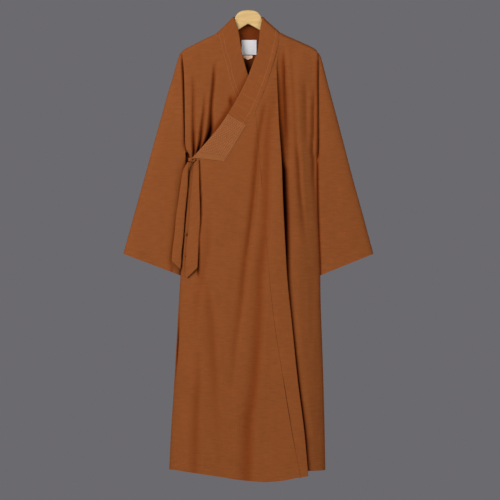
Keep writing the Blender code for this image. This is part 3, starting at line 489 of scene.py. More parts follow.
def tuck(points, edge, radius, inset, reach=2.5):
    """Turn one side of a grid inwards, as a seam allowance turns behind a seam."""
    flipped = points[:, ::-1] if edge == "left" else points
    last, normal = flipped[:, -1], grid_normals(points)[:, 0 if edge == "left" else -1]
    outward = last - flipped[:, -2]
    outward -= normal * np.sum(outward * normal, axis=-1, keepdims=True)
    outward /= np.linalg.norm(outward, axis=-1, keepdims=True)
    turn = np.radians([0, 30, 60, 90])
    along = np.append(-(inset + radius) + radius * np.sin(turn), [-inset, -inset])
    down = np.append(radius * (1 - np.cos(turn)), [radius + 0.4 * reach, radius + reach])
    turned = last + along[:, None, None] * outward - down[:, None, None] * normal
    grown = np.concatenate([flipped[:, :-1], turned.transpose(1, 0, 2)], axis=1)
    return grown[:, ::-1] if edge == "left" else grown


def add_sheet(name, middle, thickness, finish, closed=False, upright=False, raised=0.0, lining=0.0,
              crease=0.0, inside=0.0):
    """Thicken a grid of points in millimetres into a closed wall with a grain map in metres.

    raised and lining add to its outer and its inner face. The last two arguments are the shade painted
    on its outer and its inner face, up to 1, darkest deep in folds and hollows. upright maps the grain straight up
    the object.
    """
    rows, columns = middle.shape[:2]
    normals = grid_normals(middle, closed)
    raised, lining = (np.broadcast_to(extra, (rows, columns))[..., None] for extra in (raised, lining))
    outer = middle + normals * (thickness / 2 + raised)
    inner = middle - normals * (thickness / 2 + lining)
    ring = looped(middle) if closed else middle
    if upright:
        across, down = ring[..., 0], -ring[..., 2]
    else:
        across, down = distances(ring.transpose(1, 0, 2)).T, distances(ring)
    # A corner is its row, its column and its face: 0 is the outer face and 1 the inner one.
    last_row, last_column = rows - 1, ring.shape[1] - 1
    i, j = (a.ravel() for a in np.meshgrid(np.arange(last_row), np.arange(last_column), indexing="ij"))
    turn = ((0, 0), (1, 0), (1, 1), (0, 1))
    front = np.stack([np.stack([i + a, j + b, 0 * i], axis=-1) for a, b in turn], axis=1)
    rear = front[:, ::-1] + [0, 0, 1]
    rims = []
    edges = [((0, 0), (0, 1), last_column), ((last_row, last_column), (0, -1), last_column)]
    if not closed:
        edges += [((last_row, 0), (-1, 0), last_row), ((0, last_column), (1, 0), last_row)]
    for start, step, count in edges:
        here = np.array(start) + np.arange(count)[:, None] * np.array(step)
        there = here + np.array(step)
        rims.append(np.stack([
            np.hstack([place, np.full((count, 1), face)])
            for place, face in ((here, 0), (there, 0), (there, 1), (here, 1))
        ], axis=1))
    corners = np.concatenate([front, rear, *rims])
    faces = corners[..., 2] * rows * columns + corners[..., 0] * columns + corners[..., 1] % columns
    points = np.concatenate([outer.reshape(-1, 3), inner.reshape(-1, 3)])
    made = add_mesh(name, points, faces.tolist(), finish)
    grain = np.stack([across, down], axis=-1)[corners[..., 0], corners[..., 1]].reshape(-1, 2) * MM
    layer = made.data.uv_layers.new(name="grain")
    layer.data.foreach_set("uv", grain.astype(np.float32).ravel())
    # Painted shade of the outer and the inner face, one value per point, up to 1.
    shade = [np.broadcast_to(face, (rows, columns)).ravel() for face in (crease, inside)]
    painted_shade_layer = made.data.attributes.new("crease", "FLOAT", "POINT")
    painted_shade_layer.data.foreach_set("value", np.clip(np.concatenate(shade), 0, 1).astype(np.float32))
    SURFACES[name] = outer
    return made


def linked(name, data):
    """Make an object and show it in the scene."""
    made = bpy.data.objects.new(name, data)
    bpy.context.scene.collection.objects.link(made)
    return made


def add_mesh(name, vertices, faces, finish):
    """Make one object at the origin from points in millimetres."""
    mesh = bpy.data.meshes.new(name)
    mesh.from_pydata((np.asarray(vertices, float).reshape(-1, 3) * MM).tolist(), [], faces)
    mesh.shade_smooth()
    mesh.set_sharp_from_angle(angle=SHARP_ANGLE)
    mesh.materials.append(finish)
    return linked(name, mesh)


def on_robe(piece, slot, *nodes):
    """Ride the one body and hide the named nodes that the piece stands for; slot is not used."""
    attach(piece, "root")
    if nodes:
        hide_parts(*nodes)


def hung(cut, area):
    """Work out a hung sheet's cut width and length and its area in metres, and keep none of them."""
    width, length = cut
    width * MM
    length * MM
    area * MM * MM


def flat_area(middle):
    """Area in square millimetres of a grid of points."""
    a, b = np.diff(middle, axis=0)[:, :-1], np.diff(middle, axis=1)[:-1]
    return float(np.linalg.norm(np.cross(a, b), axis=-1).sum())


def lay(name, middle, thickness, finish, slot, node, cut, rests_on, **relief):
    """Make one hung sheet of cloth that stands for a node."""
    piece = add_sheet(name, middle, thickness, finish_named(finish), **relief)
    on_robe(piece, slot, node)
    area = flat_area(looped(middle) if relief.get("closed") else middle)
    hung(cut, min(area, cut[0] * cut[1]))


# ---------------------------------------------------------------- materials

class Value:
    """A socket that takes part in sums and products as a number does."""

    def __init__(self, graph, socket):
        self.graph, self.socket = graph, socket

    def __add__(self, other):
        return self.graph.maths("ADD", self, other)

    def __sub__(self, other):
        return self.graph.maths("SUBTRACT", self, other)

    def __mul__(self, other):
        return self.graph.maths("MULTIPLY", self, other)


class Graph:
    """One material's nodes."""

    def __init__(self, name):
        self.material = bpy.data.materials.new(name)
        self.material.use_nodes = True
        self.tree = self.material.node_tree
        self.shader = self.tree.nodes["Principled BSDF"]

    def node(self, kind, settings=None, inputs=None):
        """Add a node, set its settings and then its sockets; gives its outputs."""
        made = self.tree.nodes.new(kind)
        for key, value in (settings or {}).items():
            setattr(made, key, value)
        for key, value in (inputs or {}).items():
            self.put(made.inputs[key], value)
        return [Value(self, socket) for socket in made.outputs]

    def put(self, socket, value):
        if isinstance(value, Value):
            self.tree.links.new(value.socket, socket)
        else:
            socket.default_value = value

    def finish(self, constants, **varying):
        """Set the shader's own sockets: constants by name, and what varies over the surface."""
        for key, value in constants.items():
            self.shader.inputs[key].default_value = value
        for key, value in varying.items():
            self.put(self.shader.inputs[key.replace("_", " ")], value)
        return self.material


    def maths(self, operation, *terms):
        return self.node("ShaderNodeMath", {"operation": operation}, dict(enumerate(terms)))[0]

    def waves(self, value, pitch):
        return self.maths("SINE", value * (math.tau / pitch))

    def grain(self):
        """The grain map, whole and as its parts across and down."""
        whole = self.node("ShaderNodeUVMap", {"uv_map": "grain"})[0]
        across, down, _ = self.node("ShaderNodeSeparateXYZ", None, {0: whole})
        return whole, across, down

    def noise(self, place, scale, detail, roughness=0.5, dimensions="2D"):
        inputs = {"Vector": place, "Scale": scale, "Detail": detail, "Roughness": roughness}
        return self.node("ShaderNodeTexNoise", {"noise_dimensions": dimensions}, inputs)[0]

    def mix(self, share, first, second, how="MIX"):
        settings = {"data_type": "RGBA", "blend_type": how}
        return self.node("ShaderNodeMix", settings, {0: share, 6: first, 7: second})[2]

    def bump(self, strength, distance, height):
        inputs = {"Strength": strength, "Distance": distance, "Height": height}
        return self.node("ShaderNodeBump", None, inputs)[0]


SOFT_SHADE_LIMIT = 0.3        # painted shade this strong has the whole of the first tint
# Multipliers of the cloth colour that paint shade: the soft one in shallow folds, the deep one in the darkest
# pockets.
SOFT_SHADE_TINT = (0.80, 0.54, 0.32, 1.0)
DEEP_SHADE_TINT = (0.055, 0.010, 0.005, 1.0)


def toned(colour, share):
    """A colour made darker or lighter, with full alpha."""
    return [min(1.0, part * share) for part in colour[:3]] + [1.0]


def cloth_material(name, colour, pitch, slub):
    """Matt plain weave: threads, slubs along the weft and soft clouding, all along the grain map."""
    graph = Graph(name)
    grain, across, down = graph.grain()
    weave = graph.waves(across, pitch) * graph.waves(down, pitch) * 0.5 + 0.5

    def yarn(per_metre_across, per_metre_down, detail, roughness):
        inputs = {0: across * per_metre_across, 1: down * per_metre_down}
        return graph.noise(graph.node("ShaderNodeCombineXYZ", None, inputs)[0], 1.0, detail, roughness)

    streak, thick = yarn(45.0, 420.0, 2.0, 0.6), yarn(30.0, 170.0, 1.5, 0.6)
    warp = yarn(900.0, 30.0, 1.0, 0.5)
    cloud = graph.noise(grain, 11.0, 3.0, 0.55)
    yarns = (streak - 0.5) * slub + (thick - 0.5) * slub + (warp - 0.5) * (slub * 0.4)
    shade = yarns + (cloud - 0.5) * 0.30 + (weave - 0.5) * 0.10 + 0.5
    base = graph.mix(shade, toned(colour, 0.80), toned(colour, 1.22))
    # Painted shade: each sheet's per-point shade attribute darkens the colour in folds, seams and hollows, first
    # towards the soft tint and then towards the deep one.
    crease = graph.node("ShaderNodeAttribute", {"attribute_name": "crease"})[2]
    base = graph.mix(crease * (1 / SOFT_SHADE_LIMIT), base, SOFT_SHADE_TINT, "MULTIPLY")
    base = graph.mix((crease - SOFT_SHADE_LIMIT) * (1 / (1 - SOFT_SHADE_LIMIT)), base, DEEP_SHADE_TINT, "MULTIPLY")
    return graph.finish(
        {"Metallic": 0.0, "Specular IOR Level": 0.04},
        Base_Color=base, Roughness=streak * 0.12 + 0.78,
        Normal=graph.bump(0.35, 0.0003, weave * 0.5 + streak * 0.7),
    )


def wood_material(colour):
    """Pale satin wood: long grain with a few darker rings and fine pores."""
    graph = Graph("pale_wood")
    place = graph.node("ShaderNodeTexCoord")[3]
    turned, fine_place = (
        graph.node("ShaderNodeMapping", None, {"Vector": place, "Scale": scale})[0]
        for scale in ((9.0, 60.0, 60.0), (60.0, 900.0, 900.0))
    )
    bend = graph.noise(turned, 0.7, 2.0, dimensions="3D")
    rings = graph.maths("SINE", bend * 30.0) * 0.5 + 0.5
    pores = graph.noise(fine_place, 1.0, 2.0, dimensions="3D")
    return graph.finish(
        {"Metallic": 0.0, "Coat Weight": 0.03, "Coat Roughness": 0.4, "Specular IOR Level": 0.15},
        Base_Color=graph.mix(rings * 0.55 + pores * 0.4, toned(colour, 1.06), toned(colour, 0.82)),
        Roughness=pores * 0.1 + 0.5, Normal=graph.bump(0.12, 0.0002, pores),
    )


def label_material(name, colour, pitch):
    """Smooth close-woven tape, bare."""
    graph = Graph(name)
    grain, _, down = graph.grain()
    fill, cloud = graph.waves(down, pitch), graph.noise(grain, 60.0, 2.0)
    return graph.finish(
        {"Metallic": 0.0, "Specular IOR Level": 0.35},
        Base_Color=graph.mix(fill * 0.12 + cloud * 0.8, toned(colour, 0.86), toned(colour, 1.0)),
        Roughness=cloud * 0.1 + 0.5, Normal=graph.bump(0.2, 0.0002, fill),
    )


def plain_material(name, colour, roughness):
    return Graph(name).finish({"Base Color": toned(colour, 1.0), "Roughness": roughness, "Metallic": 0.0})


# ---------------------------------------------------------------- settings

class ROBE_PG_cloth(bpy.types.PropertyGroup):
    wall: FloatProperty(name="Cloth thickness", description="Thickness of one layer of cloth",
                        default=0.0012, min=0.0006, max=0.002, subtype="DISTANCE", unit="LENGTH")
    band: FloatProperty(name="Band thickness", description="Thickness of the doubled collar band and ties",
                        default=0.003, min=0.0015, max=0.004, subtype="DISTANCE", unit="LENGTH")
    unevenness: FloatProperty(name="Unevenness", description="Height of the soft swelling of the hung cloth",
                              default=0.0015, min=0.0, max=0.003, subtype="DISTANCE", unit="LENGTH")
    weave: FloatProperty(name="Weave pitch", description="Distance between two threads",
                         default=0.0009, min=0.0004, max=0.002, subtype="DISTANCE", unit="LENGTH")
    colour: FloatVectorProperty(name="Cloth colour", description="Colour of the panels and sleeves",
                                default=(0.172, 0.0500, 0.0126), min=0, max=1, subtype="COLOR")
    collar_colour: FloatVectorProperty(name="Collar colour", description="Colour of the collar band",
                                       default=(0.172, 0.0492, 0.0122), min=0, max=1, subtype="COLOR")
    stitched_colour: FloatVectorProperty(name="Stitched end colour",
                                         description="Colour of the collar's stitched end",
                                         default=(0.204, 0.0700, 0.0215), min=0, max=1, subtype="COLOR")
    thread_colour: FloatVectorProperty(name="Thread colour", description="Colour of the sewing thread",
                                       default=(0.36, 0.14, 0.050), min=0, max=1, subtype="COLOR")


class ROBE_PG_stitches(bpy.types.PropertyGroup):
    length: FloatProperty(name="Stitch length", description="Length of one stitch",
                          default=0.0023, min=0.001, max=0.006, subtype="DISTANCE", unit="LENGTH")
    spacing: FloatProperty(name="Stitch spacing", description="Distance from one stitch to the next",
                           default=0.0033, min=0.002, max=0.01, subtype="DISTANCE", unit="LENGTH")
    thread: FloatProperty(name="Thread", description="Thickness of the sewing thread",
                          default=0.0009, min=0.0002, max=0.0012, subtype="DISTANCE", unit="LENGTH")
    sides: IntProperty(name="Sides", description="Faces round one stitch", default=5, min=3, max=12)


class ROBE_PG_trim(bpy.types.PropertyGroup):
    wood: FloatVectorProperty(name="Wood colour", description="Colour of the hanger's wood",
                              default=(0.49, 0.327, 0.136), min=0, max=1, subtype="COLOR")
    label: FloatVectorProperty(name="Label colour", description="Colour of the bare neck label",
                               default=(0.61, 0.595, 0.593), min=0, max=1, subtype="COLOR")
    tag: FloatVectorProperty(name="Tag colour", description="Colour of the bare tag below the label",
                             default=(0.86, 0.53, 0.36), min=0, max=1, subtype="COLOR")


class ROBE_PG_stage(bpy.types.PropertyGroup):
    floor_gap: FloatProperty(name="Floor gap", description="Height of the hem over the floor",
                             default=0.36, min=0.02, max=1.0, subtype="DISTANCE", unit="LENGTH")
    floor_radius: FloatProperty(name="Floor radius", description="Radius of the round floor",
                                default=1.4, min=0.5, max=5.0, subtype="DISTANCE", unit="LENGTH")
    key_power: FloatProperty(name="Key light", description="Power of the large light at the upper left",
                             default=162.0, min=0.0, max=1000.0, unit="POWER")
    fill_power: FloatProperty(name="Fill light", description="Power of the light at the right",
                              default=85.0, min=0.0, max=1000.0, unit="POWER")
    backdrop: FloatVectorProperty(name="Backdrop colour", description="Plain colour all round the robe",
                                  default=(0.148, 0.144, 0.156), min=0, max=1, subtype="COLOR")


def cloth_settings():
    return bpy.context.scene.robe_cloth


def finish_named(name):
    """The cloth, collar and trim materials, made once each."""
    made = bpy.data.materials.get(name)
    if made:
        return made
    cloth, trim = cloth_settings(), bpy.context.scene.robe_trim
    makers = {
        "robe_cloth": lambda: cloth_material(name, cloth.colour, cloth.weave, 0.55),
        "collar_cloth": lambda: cloth_material(name, cloth.collar_colour, cloth.weave * 0.9, 0.5),
        "stitched_cloth": lambda: cloth_material(name, cloth.stitched_colour, cloth.weave * 1.1, 0.5),
        "sewing_thread": lambda: plain_material(name, cloth.thread_colour, 0.7),
        "end_thread": lambda: plain_material(name, toned(cloth.stitched_colour, 1.45), 0.8),
        "hem_thread": lambda: plain_material(name, toned(cloth.colour, 1.15), 0.8),
        "label_weave": lambda: label_material(name, trim.label, 0.0007),
        "tag_weave": lambda: label_material(name, trim.tag, 0.0009),
        "pale_wood": lambda: wood_material(trim.wood),
    }
    return makers[name]()


# ---------------------------------------------------------------- panels

def panel_rows(top_z, hem_z, chest_step=ROW_STEP):
    """Shares of the way down a side edge: close over the shoulder and at the hem."""
    upper = top_z - np.array(OVER_OFFSETS)
    lower = hem_z + np.array(HEM_OFFSETS)
    chest, skirt = fine([upper[-1], ARMPIT_Z], chest_step), fine([ARMPIT_Z, lower[0]], ROW_STEP)
    rows = np.concatenate([upper, chest[1:], skirt[1:-1], lower])
    return (top_z - rows) / (top_z - hem_z)


def hem_relief(middle, wall, turn=HEM_TURN):
    """The double cloth of a turned hem, and the line that its stitches draw on the outside."""
    up = distances(middle[::-1])[::-1]
    return {"lining": wall * (up < turn + 0.5), "raised": -0.35 * bell(up, turn, 0.8)}


def left_front_grid(swell):
    """The left front: its columns keep to the big fold, which lays them over one another."""
    tip_z = TOP_LINE.at("z", LEFT_TIP_X)
    down = panel_rows(tip_z, LEFT_HEM_Z)
    left_z = blend(LEFT_NECK_Z, FRONT_HEM.at("z", CENTRE_HEM_X), down)
    left_x = front_seam_x(left_z) + SEAM
    fold_z = blend(TOP_LINE.at("z", FOLD_TOP_X), FOLD_HEM_Z, down)
    fold_x = FOLD.at("x", fold_z)
    right_z = blend(tip_z, LEFT_HEM_Z, down)
    right_x = SIDES.at("right", right_z)
    edge = np.array(SIDE_OFFSETS)
    rows = []
    for left, fold, right, ends_z in zip(left_x, fold_x, right_x, zip(left_z, fold_z, right_z)):
        room = [min(1, gap / full) for gap, full in zip((fold - left, right - fold), FOLD_ROOM)]
        beside = fold + FOLD_OFFSETS * np.where(FOLD_OFFSETS < 0, *room)
        x = np.concatenate([
            np.linspace(left, beside[0], 14)[:-1], beside,
            np.linspace(beside[-1], right - 14, 20)[1:], right - edge,
        ])
        rows.append(line(x, np.interp(x, [left, fold, right], ends_z)))
    x, z = np.moveaxis(np.array(rows), -1, 0)
    z[0] = np.minimum(TOP_LINE.at("z", x[0]), LEFT_NECK_Z)
    hung_share = over_shoulder(x, z)
    y = -(outer_depth(x, z) + (outer_relief(x, z) + swell * unevenness(x, z, 3)) * hung_share)
    step = (1 + np.tanh(FOLD_ROLL * 2 * (x - FOLD.at("x", z)) / FOLD_WIDTH)) / 2
    crease = fold_crease(x, z) * hung_share
    return placed(x + fold_shift(x, z), z + HEM_STEP * step * down[:, None], y), crease


def overlap_grid(swell):
    """The sloped overlap, from under the collar's end and the collar seam to the hem."""
    down = np.concatenate([[0, 0.001, 0.003, 0.006], np.linspace(0.01, 1 - 0.034, 150),
                           1 - np.array(HEM_OFFSETS) / 950])
    across = fine(np.array([0, 0.3, 1, 2.5, 5, 9, 14, 371, 375, 378, 380]) / 380, 5 / 380)
    seam_z = np.linspace(COLLAR_END_Z, COLLAR_JOIN_Z, 40)
    upper = np.concatenate([OVERLAP_TOP, line(OUTER_COLLAR.at("seam", seam_z) + SEAM, seam_z - SEAM)])
    along = distances(upper)
    upper_x, upper_z = (np.interp(across * along[-1], along, upper[:, axis]) for axis in (0, 1))
    left_z = blend(upper[0, 1], FRONT_HEM.at("z", -232), down)
    left_x = blend(upper[0, 0], SIDES.at("left", left_z) + 3.5, ramp(down * 12))
    side_slit = 4 * bell(left_z, -1010, 90)
    right_z = blend(upper[-1, 1], FRONT_HEM.at("z", CENTRE_HEM_X), down)
    bottom_x = blend(left_x[-1], CENTRE_HEM_X - SEAM, across)
    x, z = coons(
        (upper_x, upper_z), (bottom_x, FRONT_HEM.at("z", bottom_x)),
        (left_x + side_slit, left_z), (CENTRE_SEAM.at("x", right_z) - SEAM, right_z),
        across, down,
    )
    y = -(outer_depth(x, z) + outer_relief(x, z) + swell * unevenness(x, z, 5))
    # Painted shadow beside the long strap: faint at its left edge, stronger at its right.
    strap_shadow = 0.15 * bell(x, LONG_STRAP.at("left", z) - 2, 2.5) * below(z, -455, 20) * above(z, -795, 20)
    strap_shadow = strap_shadow + STRAP_DARK.at("dark", z) * bell(x, LONG_STRAP.at("right", z) + 2.5, 3.5, 4)
    return placed(x, z, y), fold_crease(x, z) + strap_shadow


def right_front_grid(swell):
    """The under front, with fine rows and columns where its folds gather over the knot."""
    tip_z, hem_z = TOP_LINE.at("z", RIGHT_TIP_X), RIGHT_HEM_Z
    down = panel_rows(tip_z, hem_z, chest_step=2.5)
    right_z = blend(TOP_LINE.at("z", -NECK_POINT_X), hem_z, down)
    across = fine(np.array([0, 0.1, 0.4, 1, 2, 3.5, 5.5, 8, 11, 176, 180, 183, 185]) / 185, 2 / 185)
    top_x = blend(RIGHT_TIP_X, -NECK_POINT_X, across)
    under_seam, under_edge = UNDER_COLLAR.at("seam", right_z), UNDER_EDGE.at("x", right_z)
    seam_x = np.where(right_z > UNDER_COLLAR_END_Z, under_seam, under_edge)
    bottom_x = blend(SIDES.at("left", hem_z), UNDER_EDGE.at("x", hem_z), across)
    side_z = blend(tip_z, hem_z, down)
    x, z = coons(
        (top_x, TOP_LINE.at("z", top_x)), (bottom_x, hem_z),
        (SIDES.at("left", side_z), side_z), (seam_x - SEAM, right_z),
        across, down,
    )
    deep = troughs(UNDER_TROUGHS, x, z)
    folds = deep - swell * unevenness(x, z, 7)
    y = -(layer_depth("under", x, z) - folds * over_shoulder(x, z))
    # Painted shade: in the side slit, beside the under collar's deep trough, in a spot by the collar, deeper in
    # the troughs near the knot and under the outer collar's edge.
    side_slit = 0.95 * bell(x, SIDES.at("left", z) + 5, 2.5) * bell(z, -1005, 75)
    under_collar_shade = 0.6 * bell(x, UNDER_TROUGHS[0].at("x", z) + 2, 6) * bell(z, -366, 26)
    corner_shade = 0.5 * bell(x, -53, 6) * bell(z, -272, 14)
    knot_shade_boost = 1 + 1.1 * below(z, -385, 40)
    crease = deep * knot_shade_boost / UNDER_FULL_SHADE_DEPTH + side_slit + under_collar_shade + corner_shade + beside_collar(x, z)
    return placed(x, z, y), crease


def back_grid(swell):
    """The back panel, from the neck seam and the shoulders to the hem."""
    down = panel_rows(TOP_LINE.at("z", RIGHT_TIP_X), BACK_HEM.at("z", BACK_HEM_X[0]))
    neck_half = np.array([0, 26, 50, 70, 84, 90, NECK_POINT_X])
    outward = np.array([0.06, 0.2, 0.4, 0.62, 0.82, 0.92, 0.955, 0.975, 0.987, 0.995, 0.999, 1])
    left_x = blend(-NECK_POINT_X, RIGHT_TIP_X, outward)
    right_x = blend(NECK_POINT_X, LEFT_TIP_X, outward)
    top_x = fine(np.concatenate([left_x[::-1], -neck_half[:0:-1], neck_half, right_x]), 5)
    across = (top_x - top_x[0]) / (top_x[-1] - top_x[0])
    top_z = np.where(np.abs(top_x) < NECK_POINT_X, NECK_SEAM.at("z", top_x) - SEAM, TOP_LINE.at("z", top_x))
    bottom_x = blend(*BACK_HEM_X, across)
    left_z, right_z = (blend(top_z[end], BACK_HEM.at("z", BACK_HEM_X[end]), down) for end in (0, -1))
    x, z = coons(
        (top_x, top_z), (bottom_x, BACK_HEM.at("z", bottom_x)),
        (BACK_LEFT.at("left", left_z), left_z), (SIDES.at("right", right_z), right_z),
        across, down,
    )
    folds = troughs(BACK_TROUGHS, x, z) - swell * unevenness(x, z, 11)
    return placed(x, z, layer_depth("back", x, z, BACK_LEFT) - folds * over_shoulder(x, z))


class ROBE_OT_fronts(bpy.types.Operator):
    """Make the left front with its big fold, the sloped overlap and the under front"""

    bl_idname = "robe.fronts"
    bl_label = "Make fronts"

    def execute(self, context):
        settings = cloth_settings()
        wall, swell = settings.wall / MM, settings.unevenness / MM
        for name, (middle, crease), seams, node, cut in (
            ("front_left", left_front_grid(swell), (("left", 0.15, 0.0),), "left_front", (245, 1330)),
            ("front_overlap", overlap_grid(swell), (("right", 0.6, 0.2),), "overlap_panel", (400, 1110)),
            ("front_under", right_front_grid(swell), (), "right_front", (335, 1300)),
        ):
            for edge, radius, inset in seams:
                middle = tuck(middle, edge, radius, inset)
                # The turned allowance carries painted shade, darkest on the low centre-front seam.
                dark = SEAM_DARK.at("dark", middle[:, 0, 2])[:, None]
                allowance = np.repeat(dark, middle.shape[1] - crease.shape[1], axis=1)
                crease = np.hstack([allowance, crease] if edge == "left" else [crease, allowance])
            lay(name, middle, wall, "robe_cloth", "cloth", node, cut, ["hanger"],
                upright=True, crease=crease, **hem_relief(middle, wall))
        return {"FINISHED"}


class ROBE_OT_back(bpy.types.Operator):
    """Make the back panel"""

    bl_idname = "robe.back"
    bl_label = "Make back"

    def execute(self, context):
        settings = cloth_settings()
        wall = settings.wall / MM
        # The columns of a back panel run left, so that its normals point out of its back.
        middle = back_grid(settings.unevenness / MM)[:, ::-1]
        # Painted shade on the back panel's inner face, deeper below the neck opening.
        inside = blend(0.40, 0.70, below(middle[..., 2], -140, 40))
        lay("back_body", middle, wall, "robe_cloth", "cloth", "back_panel", (490, 1330), ["hanger"],
            upright=True, inside=inside, **hem_relief(middle, wall))
        return {"FINISHED"}


def sleeve_grid(table, mirror, swell, seed):
    """One wide sleeve: a flat tube from inside the armhole to the open cuff."""
    along = np.concatenate([
        np.array([0, 0.004, 0.009, 0.015, 0.022, 0.03, 0.04, 0.05, 0.06, 0.07]),
        np.linspace(0.08, 1 - 34 / SLEEVE_LENGTH, 84),
        1 - np.array([30, 28.7, 28, 27.3, 26, 20, 12, 6, 3, 1.2, 0.4, 0]) / SLEEVE_LENGTH,
    ])
    half_turn = np.linspace(0, math.pi, 34)[1:-1]
    edge = (1 - np.cos(half_turn)) / 2
    across = np.concatenate([[0], edge, [1], edge[::-1]])
    side = np.concatenate([[0], np.full(len(edge), -1.0), [0], np.full(len(edge), 1.0)])
    if mirror:
        side = -side
    column = {key: table.at(key, along)[:, None] for key in table.names[1:]}
    x = blend(column["outer_x"], column["inner_x"], across)
    z = blend(column["outer_z"], column["inner_z"], across)
    bulge = (1 - np.abs(2 * across - 1) ** SLEEVE_POWER) ** 0.5
    soft = swell * unevenness(x, z, seed, 40, 220) * bulge * ramp(along * 8)[:, None]
    body_side = SIDES.at("right" if mirror else "left", z)
    off_body = np.abs(x - body_side)
    by_armhole = above(z, ARMPIT_Z - 10, 20)
    dip = np.where(side < 0, ARMHOLE_DIPS[mirror], ARMHOLE_DIP_REAR) * np.exp(-off_body / ARMHOLE_REACH)
    dip *= by_armhole * below(z, SLEEVE_DIP_Z, 30)
    y = column["back"] + side * (column["half"] * bulge + soft - dip * bulge)
    # Painted shade on the sleeve's front: in the armhole crease, along the body below the armpit and, on the right
    # sleeve, beside the short strap.
    dark = (LEFT_ARMHOLE_SHADE if mirror else RIGHT_ARMHOLE_SHADE).at("dark", z)
    crease = dark * bell(off_body, 0, 5.5) * by_armhole
    crease = crease + 0.7 * bell(off_body, 0, 3.5) * below(z, ARMPIT_Z, 20)
    if not mirror:
        strap_x = SHORT_STRAP.at("left", z)
        crease = crease + 0.35 * bell(x, strap_x - 1.5, 3) * below(z, -470, 30)
        crease = crease + 0.7 * bell(x, strap_x - 2.5, 4) * bell(z, -466, 14)
    return placed(x, z, y), crease * (side < 0)


class ROBE_OT_sleeves(bpy.types.Operator):
    """Make both wide sleeves with their turned cuffs"""

    bl_idname = "robe.sleeves"
    bl_label = "Make sleeves"

    def execute(self, context):
        settings = cloth_settings()
        wall, swell = settings.wall / MM, settings.unevenness / MM
        for name, table, mirror, node, seed in (
            ("sleeve_right", RIGHT_SLEEVE, False, "right_sleeve", 17),
            ("sleeve_left", LEFT_SLEEVE, True, "left_sleeve", 19),
        ):
            middle, crease = sleeve_grid(table, mirror, swell, seed)
            lay(name, middle, wall, "robe_cloth", "cloth", node, (370, 645), ["front_left", "back_body"],
                closed=True, upright=True, crease=crease, **hem_relief(middle, wall, CUFF_TURN))
        return {"FINISHED"}


# ---------------------------------------------------------------- collar, ties and labels

def band_grid(table, start_z, end_z, seam_z, depth, across, band):
    """A length of the front collar, from the heights of its free edge's ends and of its seam's rows."""
    rows = (seam_z[0] - seam_z) / (seam_z[0] - seam_z[-1])
    edge_z = blend(start_z, end_z, rows)
    edge_x, seam_x = table.at("edge", edge_z), table.at("seam", seam_z)
    top_x = blend(edge_x[0], seam_x[0], across)
    at_neck = edge_z[0] > TOP_LINE.at("z", NECK_POINT_X)
    top_z = TOP_LINE.at("z", top_x) if at_neck else blend(edge_z[0], seam_z[0], across)
    end = blend(edge_x[-1], seam_x[-1], across), blend(edge_z[-1], seam_z[-1], across)
    x, z = coons((top_x, top_z), end, (edge_x, edge_z), (seam_x, seam_z), across, rows)
    return placed(x, z, -(depth(x, z, across) + (band - 1.5) / 2))


def outer_band_depth(x, z, across):
    return outer_depth(x, z) + outer_relief(x, z) * over_shoulder(x, z) * across


def under_band_depth(x, z, across):
    return layer_depth("under", x, z) - troughs(UNDER_TROUGHS, x, z) * over_shoulder(x, z) * across


BAND_FROM_SEAM = np.array([17, 14.2, 13.4, 12.9, 12.4, 11.9, 11, 8.5, 5.5, 3, 1.7, 0.9, 0.35, 0])
BAND_FROM_EDGE = np.array([0, 0.25, 0.7, 1.4, 2.6, 5, 9])
BAND_WIDTH = 62.0
BAND_CUT = 66            # the cut band with the cloth turned in at its edges
SEAM_LINE = 0.9          # lines of sewing on the collar, from its seam
LAYER_LINE = 12.9
COLLAR_TOP_Z = -21.5
JOIN_EDGE_Z, JOIN_SEAM_Z = -313.0, -347.0    # where the stitched end is joined on
END_STEPS = 6            # rows of the grid from one row of stitches to the next


def band_columns():
    """Shares across the band from its free edge, close at both edges and at the second line."""
    shares = np.concatenate([BAND_FROM_EDGE, BAND_WIDTH - BAND_FROM_SEAM]) / BAND_WIDTH
    return fine(shares, 5 / BAND_WIDTH)


def band_profile(across, band):
    """How the band's face stands over its flat wall: rounded edges and the second line."""
    from_seam, from_edge = (1 - across) * BAND_WIDTH, across * BAND_WIDTH
    profile = -0.42 * band * bell(from_seam, 0, 1.2) - 0.30 * band * bell(from_edge, 0, 1.1)
    profile -= 0.3 * bell(from_seam, LAYER_LINE, 0.8)
    return profile + 0.35 * below(from_seam, LAYER_LINE + 1.5, 3) * (1 - bell(from_seam, 0, 2))


PIECING = (((4, -186), (53, -207)), ((-16, -251), (28, -280)), ((-40, -280), (11, -313)))


def off_line(points, start, end):
    """Distance in the plane of the front from each point to a straight seam."""
    start, run = np.array(start, float), np.subtract(end, start)
    away = points[..., [0, 2]] - start
    share = np.clip(away @ run / (run @ run), 0, 1)[..., None]
    return np.linalg.norm(away - share * run, axis=-1)


def collar_back_grid():
    """The collar round the back of the neck, whose columns run left like the back panel's."""
    turn = np.sin(np.linspace(-math.pi / 2, math.pi / 2, 73))
    up = np.concatenate([[0, 0.02, 0.06, 0.13], np.linspace(0.22, 0.8, 9), [0.88, 0.94, 0.98, 1]])[:, None]
    seam_x, top_x = (NECK_POINT_X - SEAM) * turn, BACK_COLLAR_HALF * turn
    seam_z = NECK_SEAM.at("z", seam_x) + SEAM
    seam_y = layer_depth("back", seam_x, seam_z)
    top_y = np.maximum(RIDGE, BACK_COLLAR_DEPTH * np.sqrt(1 - np.abs(turn) ** SIDE_POWER))
    x = blend(top_x, seam_x, up)
    straight = blend(np.full(len(turn), BACK_COLLAR_TOP), seam_z, up)
    z = blend(straight, TOP_LINE.at("z", x), np.abs(turn) ** SIDE_POWER * (1 - up ** 3))
    y = blend(top_y, seam_y, up)
    return np.stack([x, y, z], axis=-1)[:, ::-1]


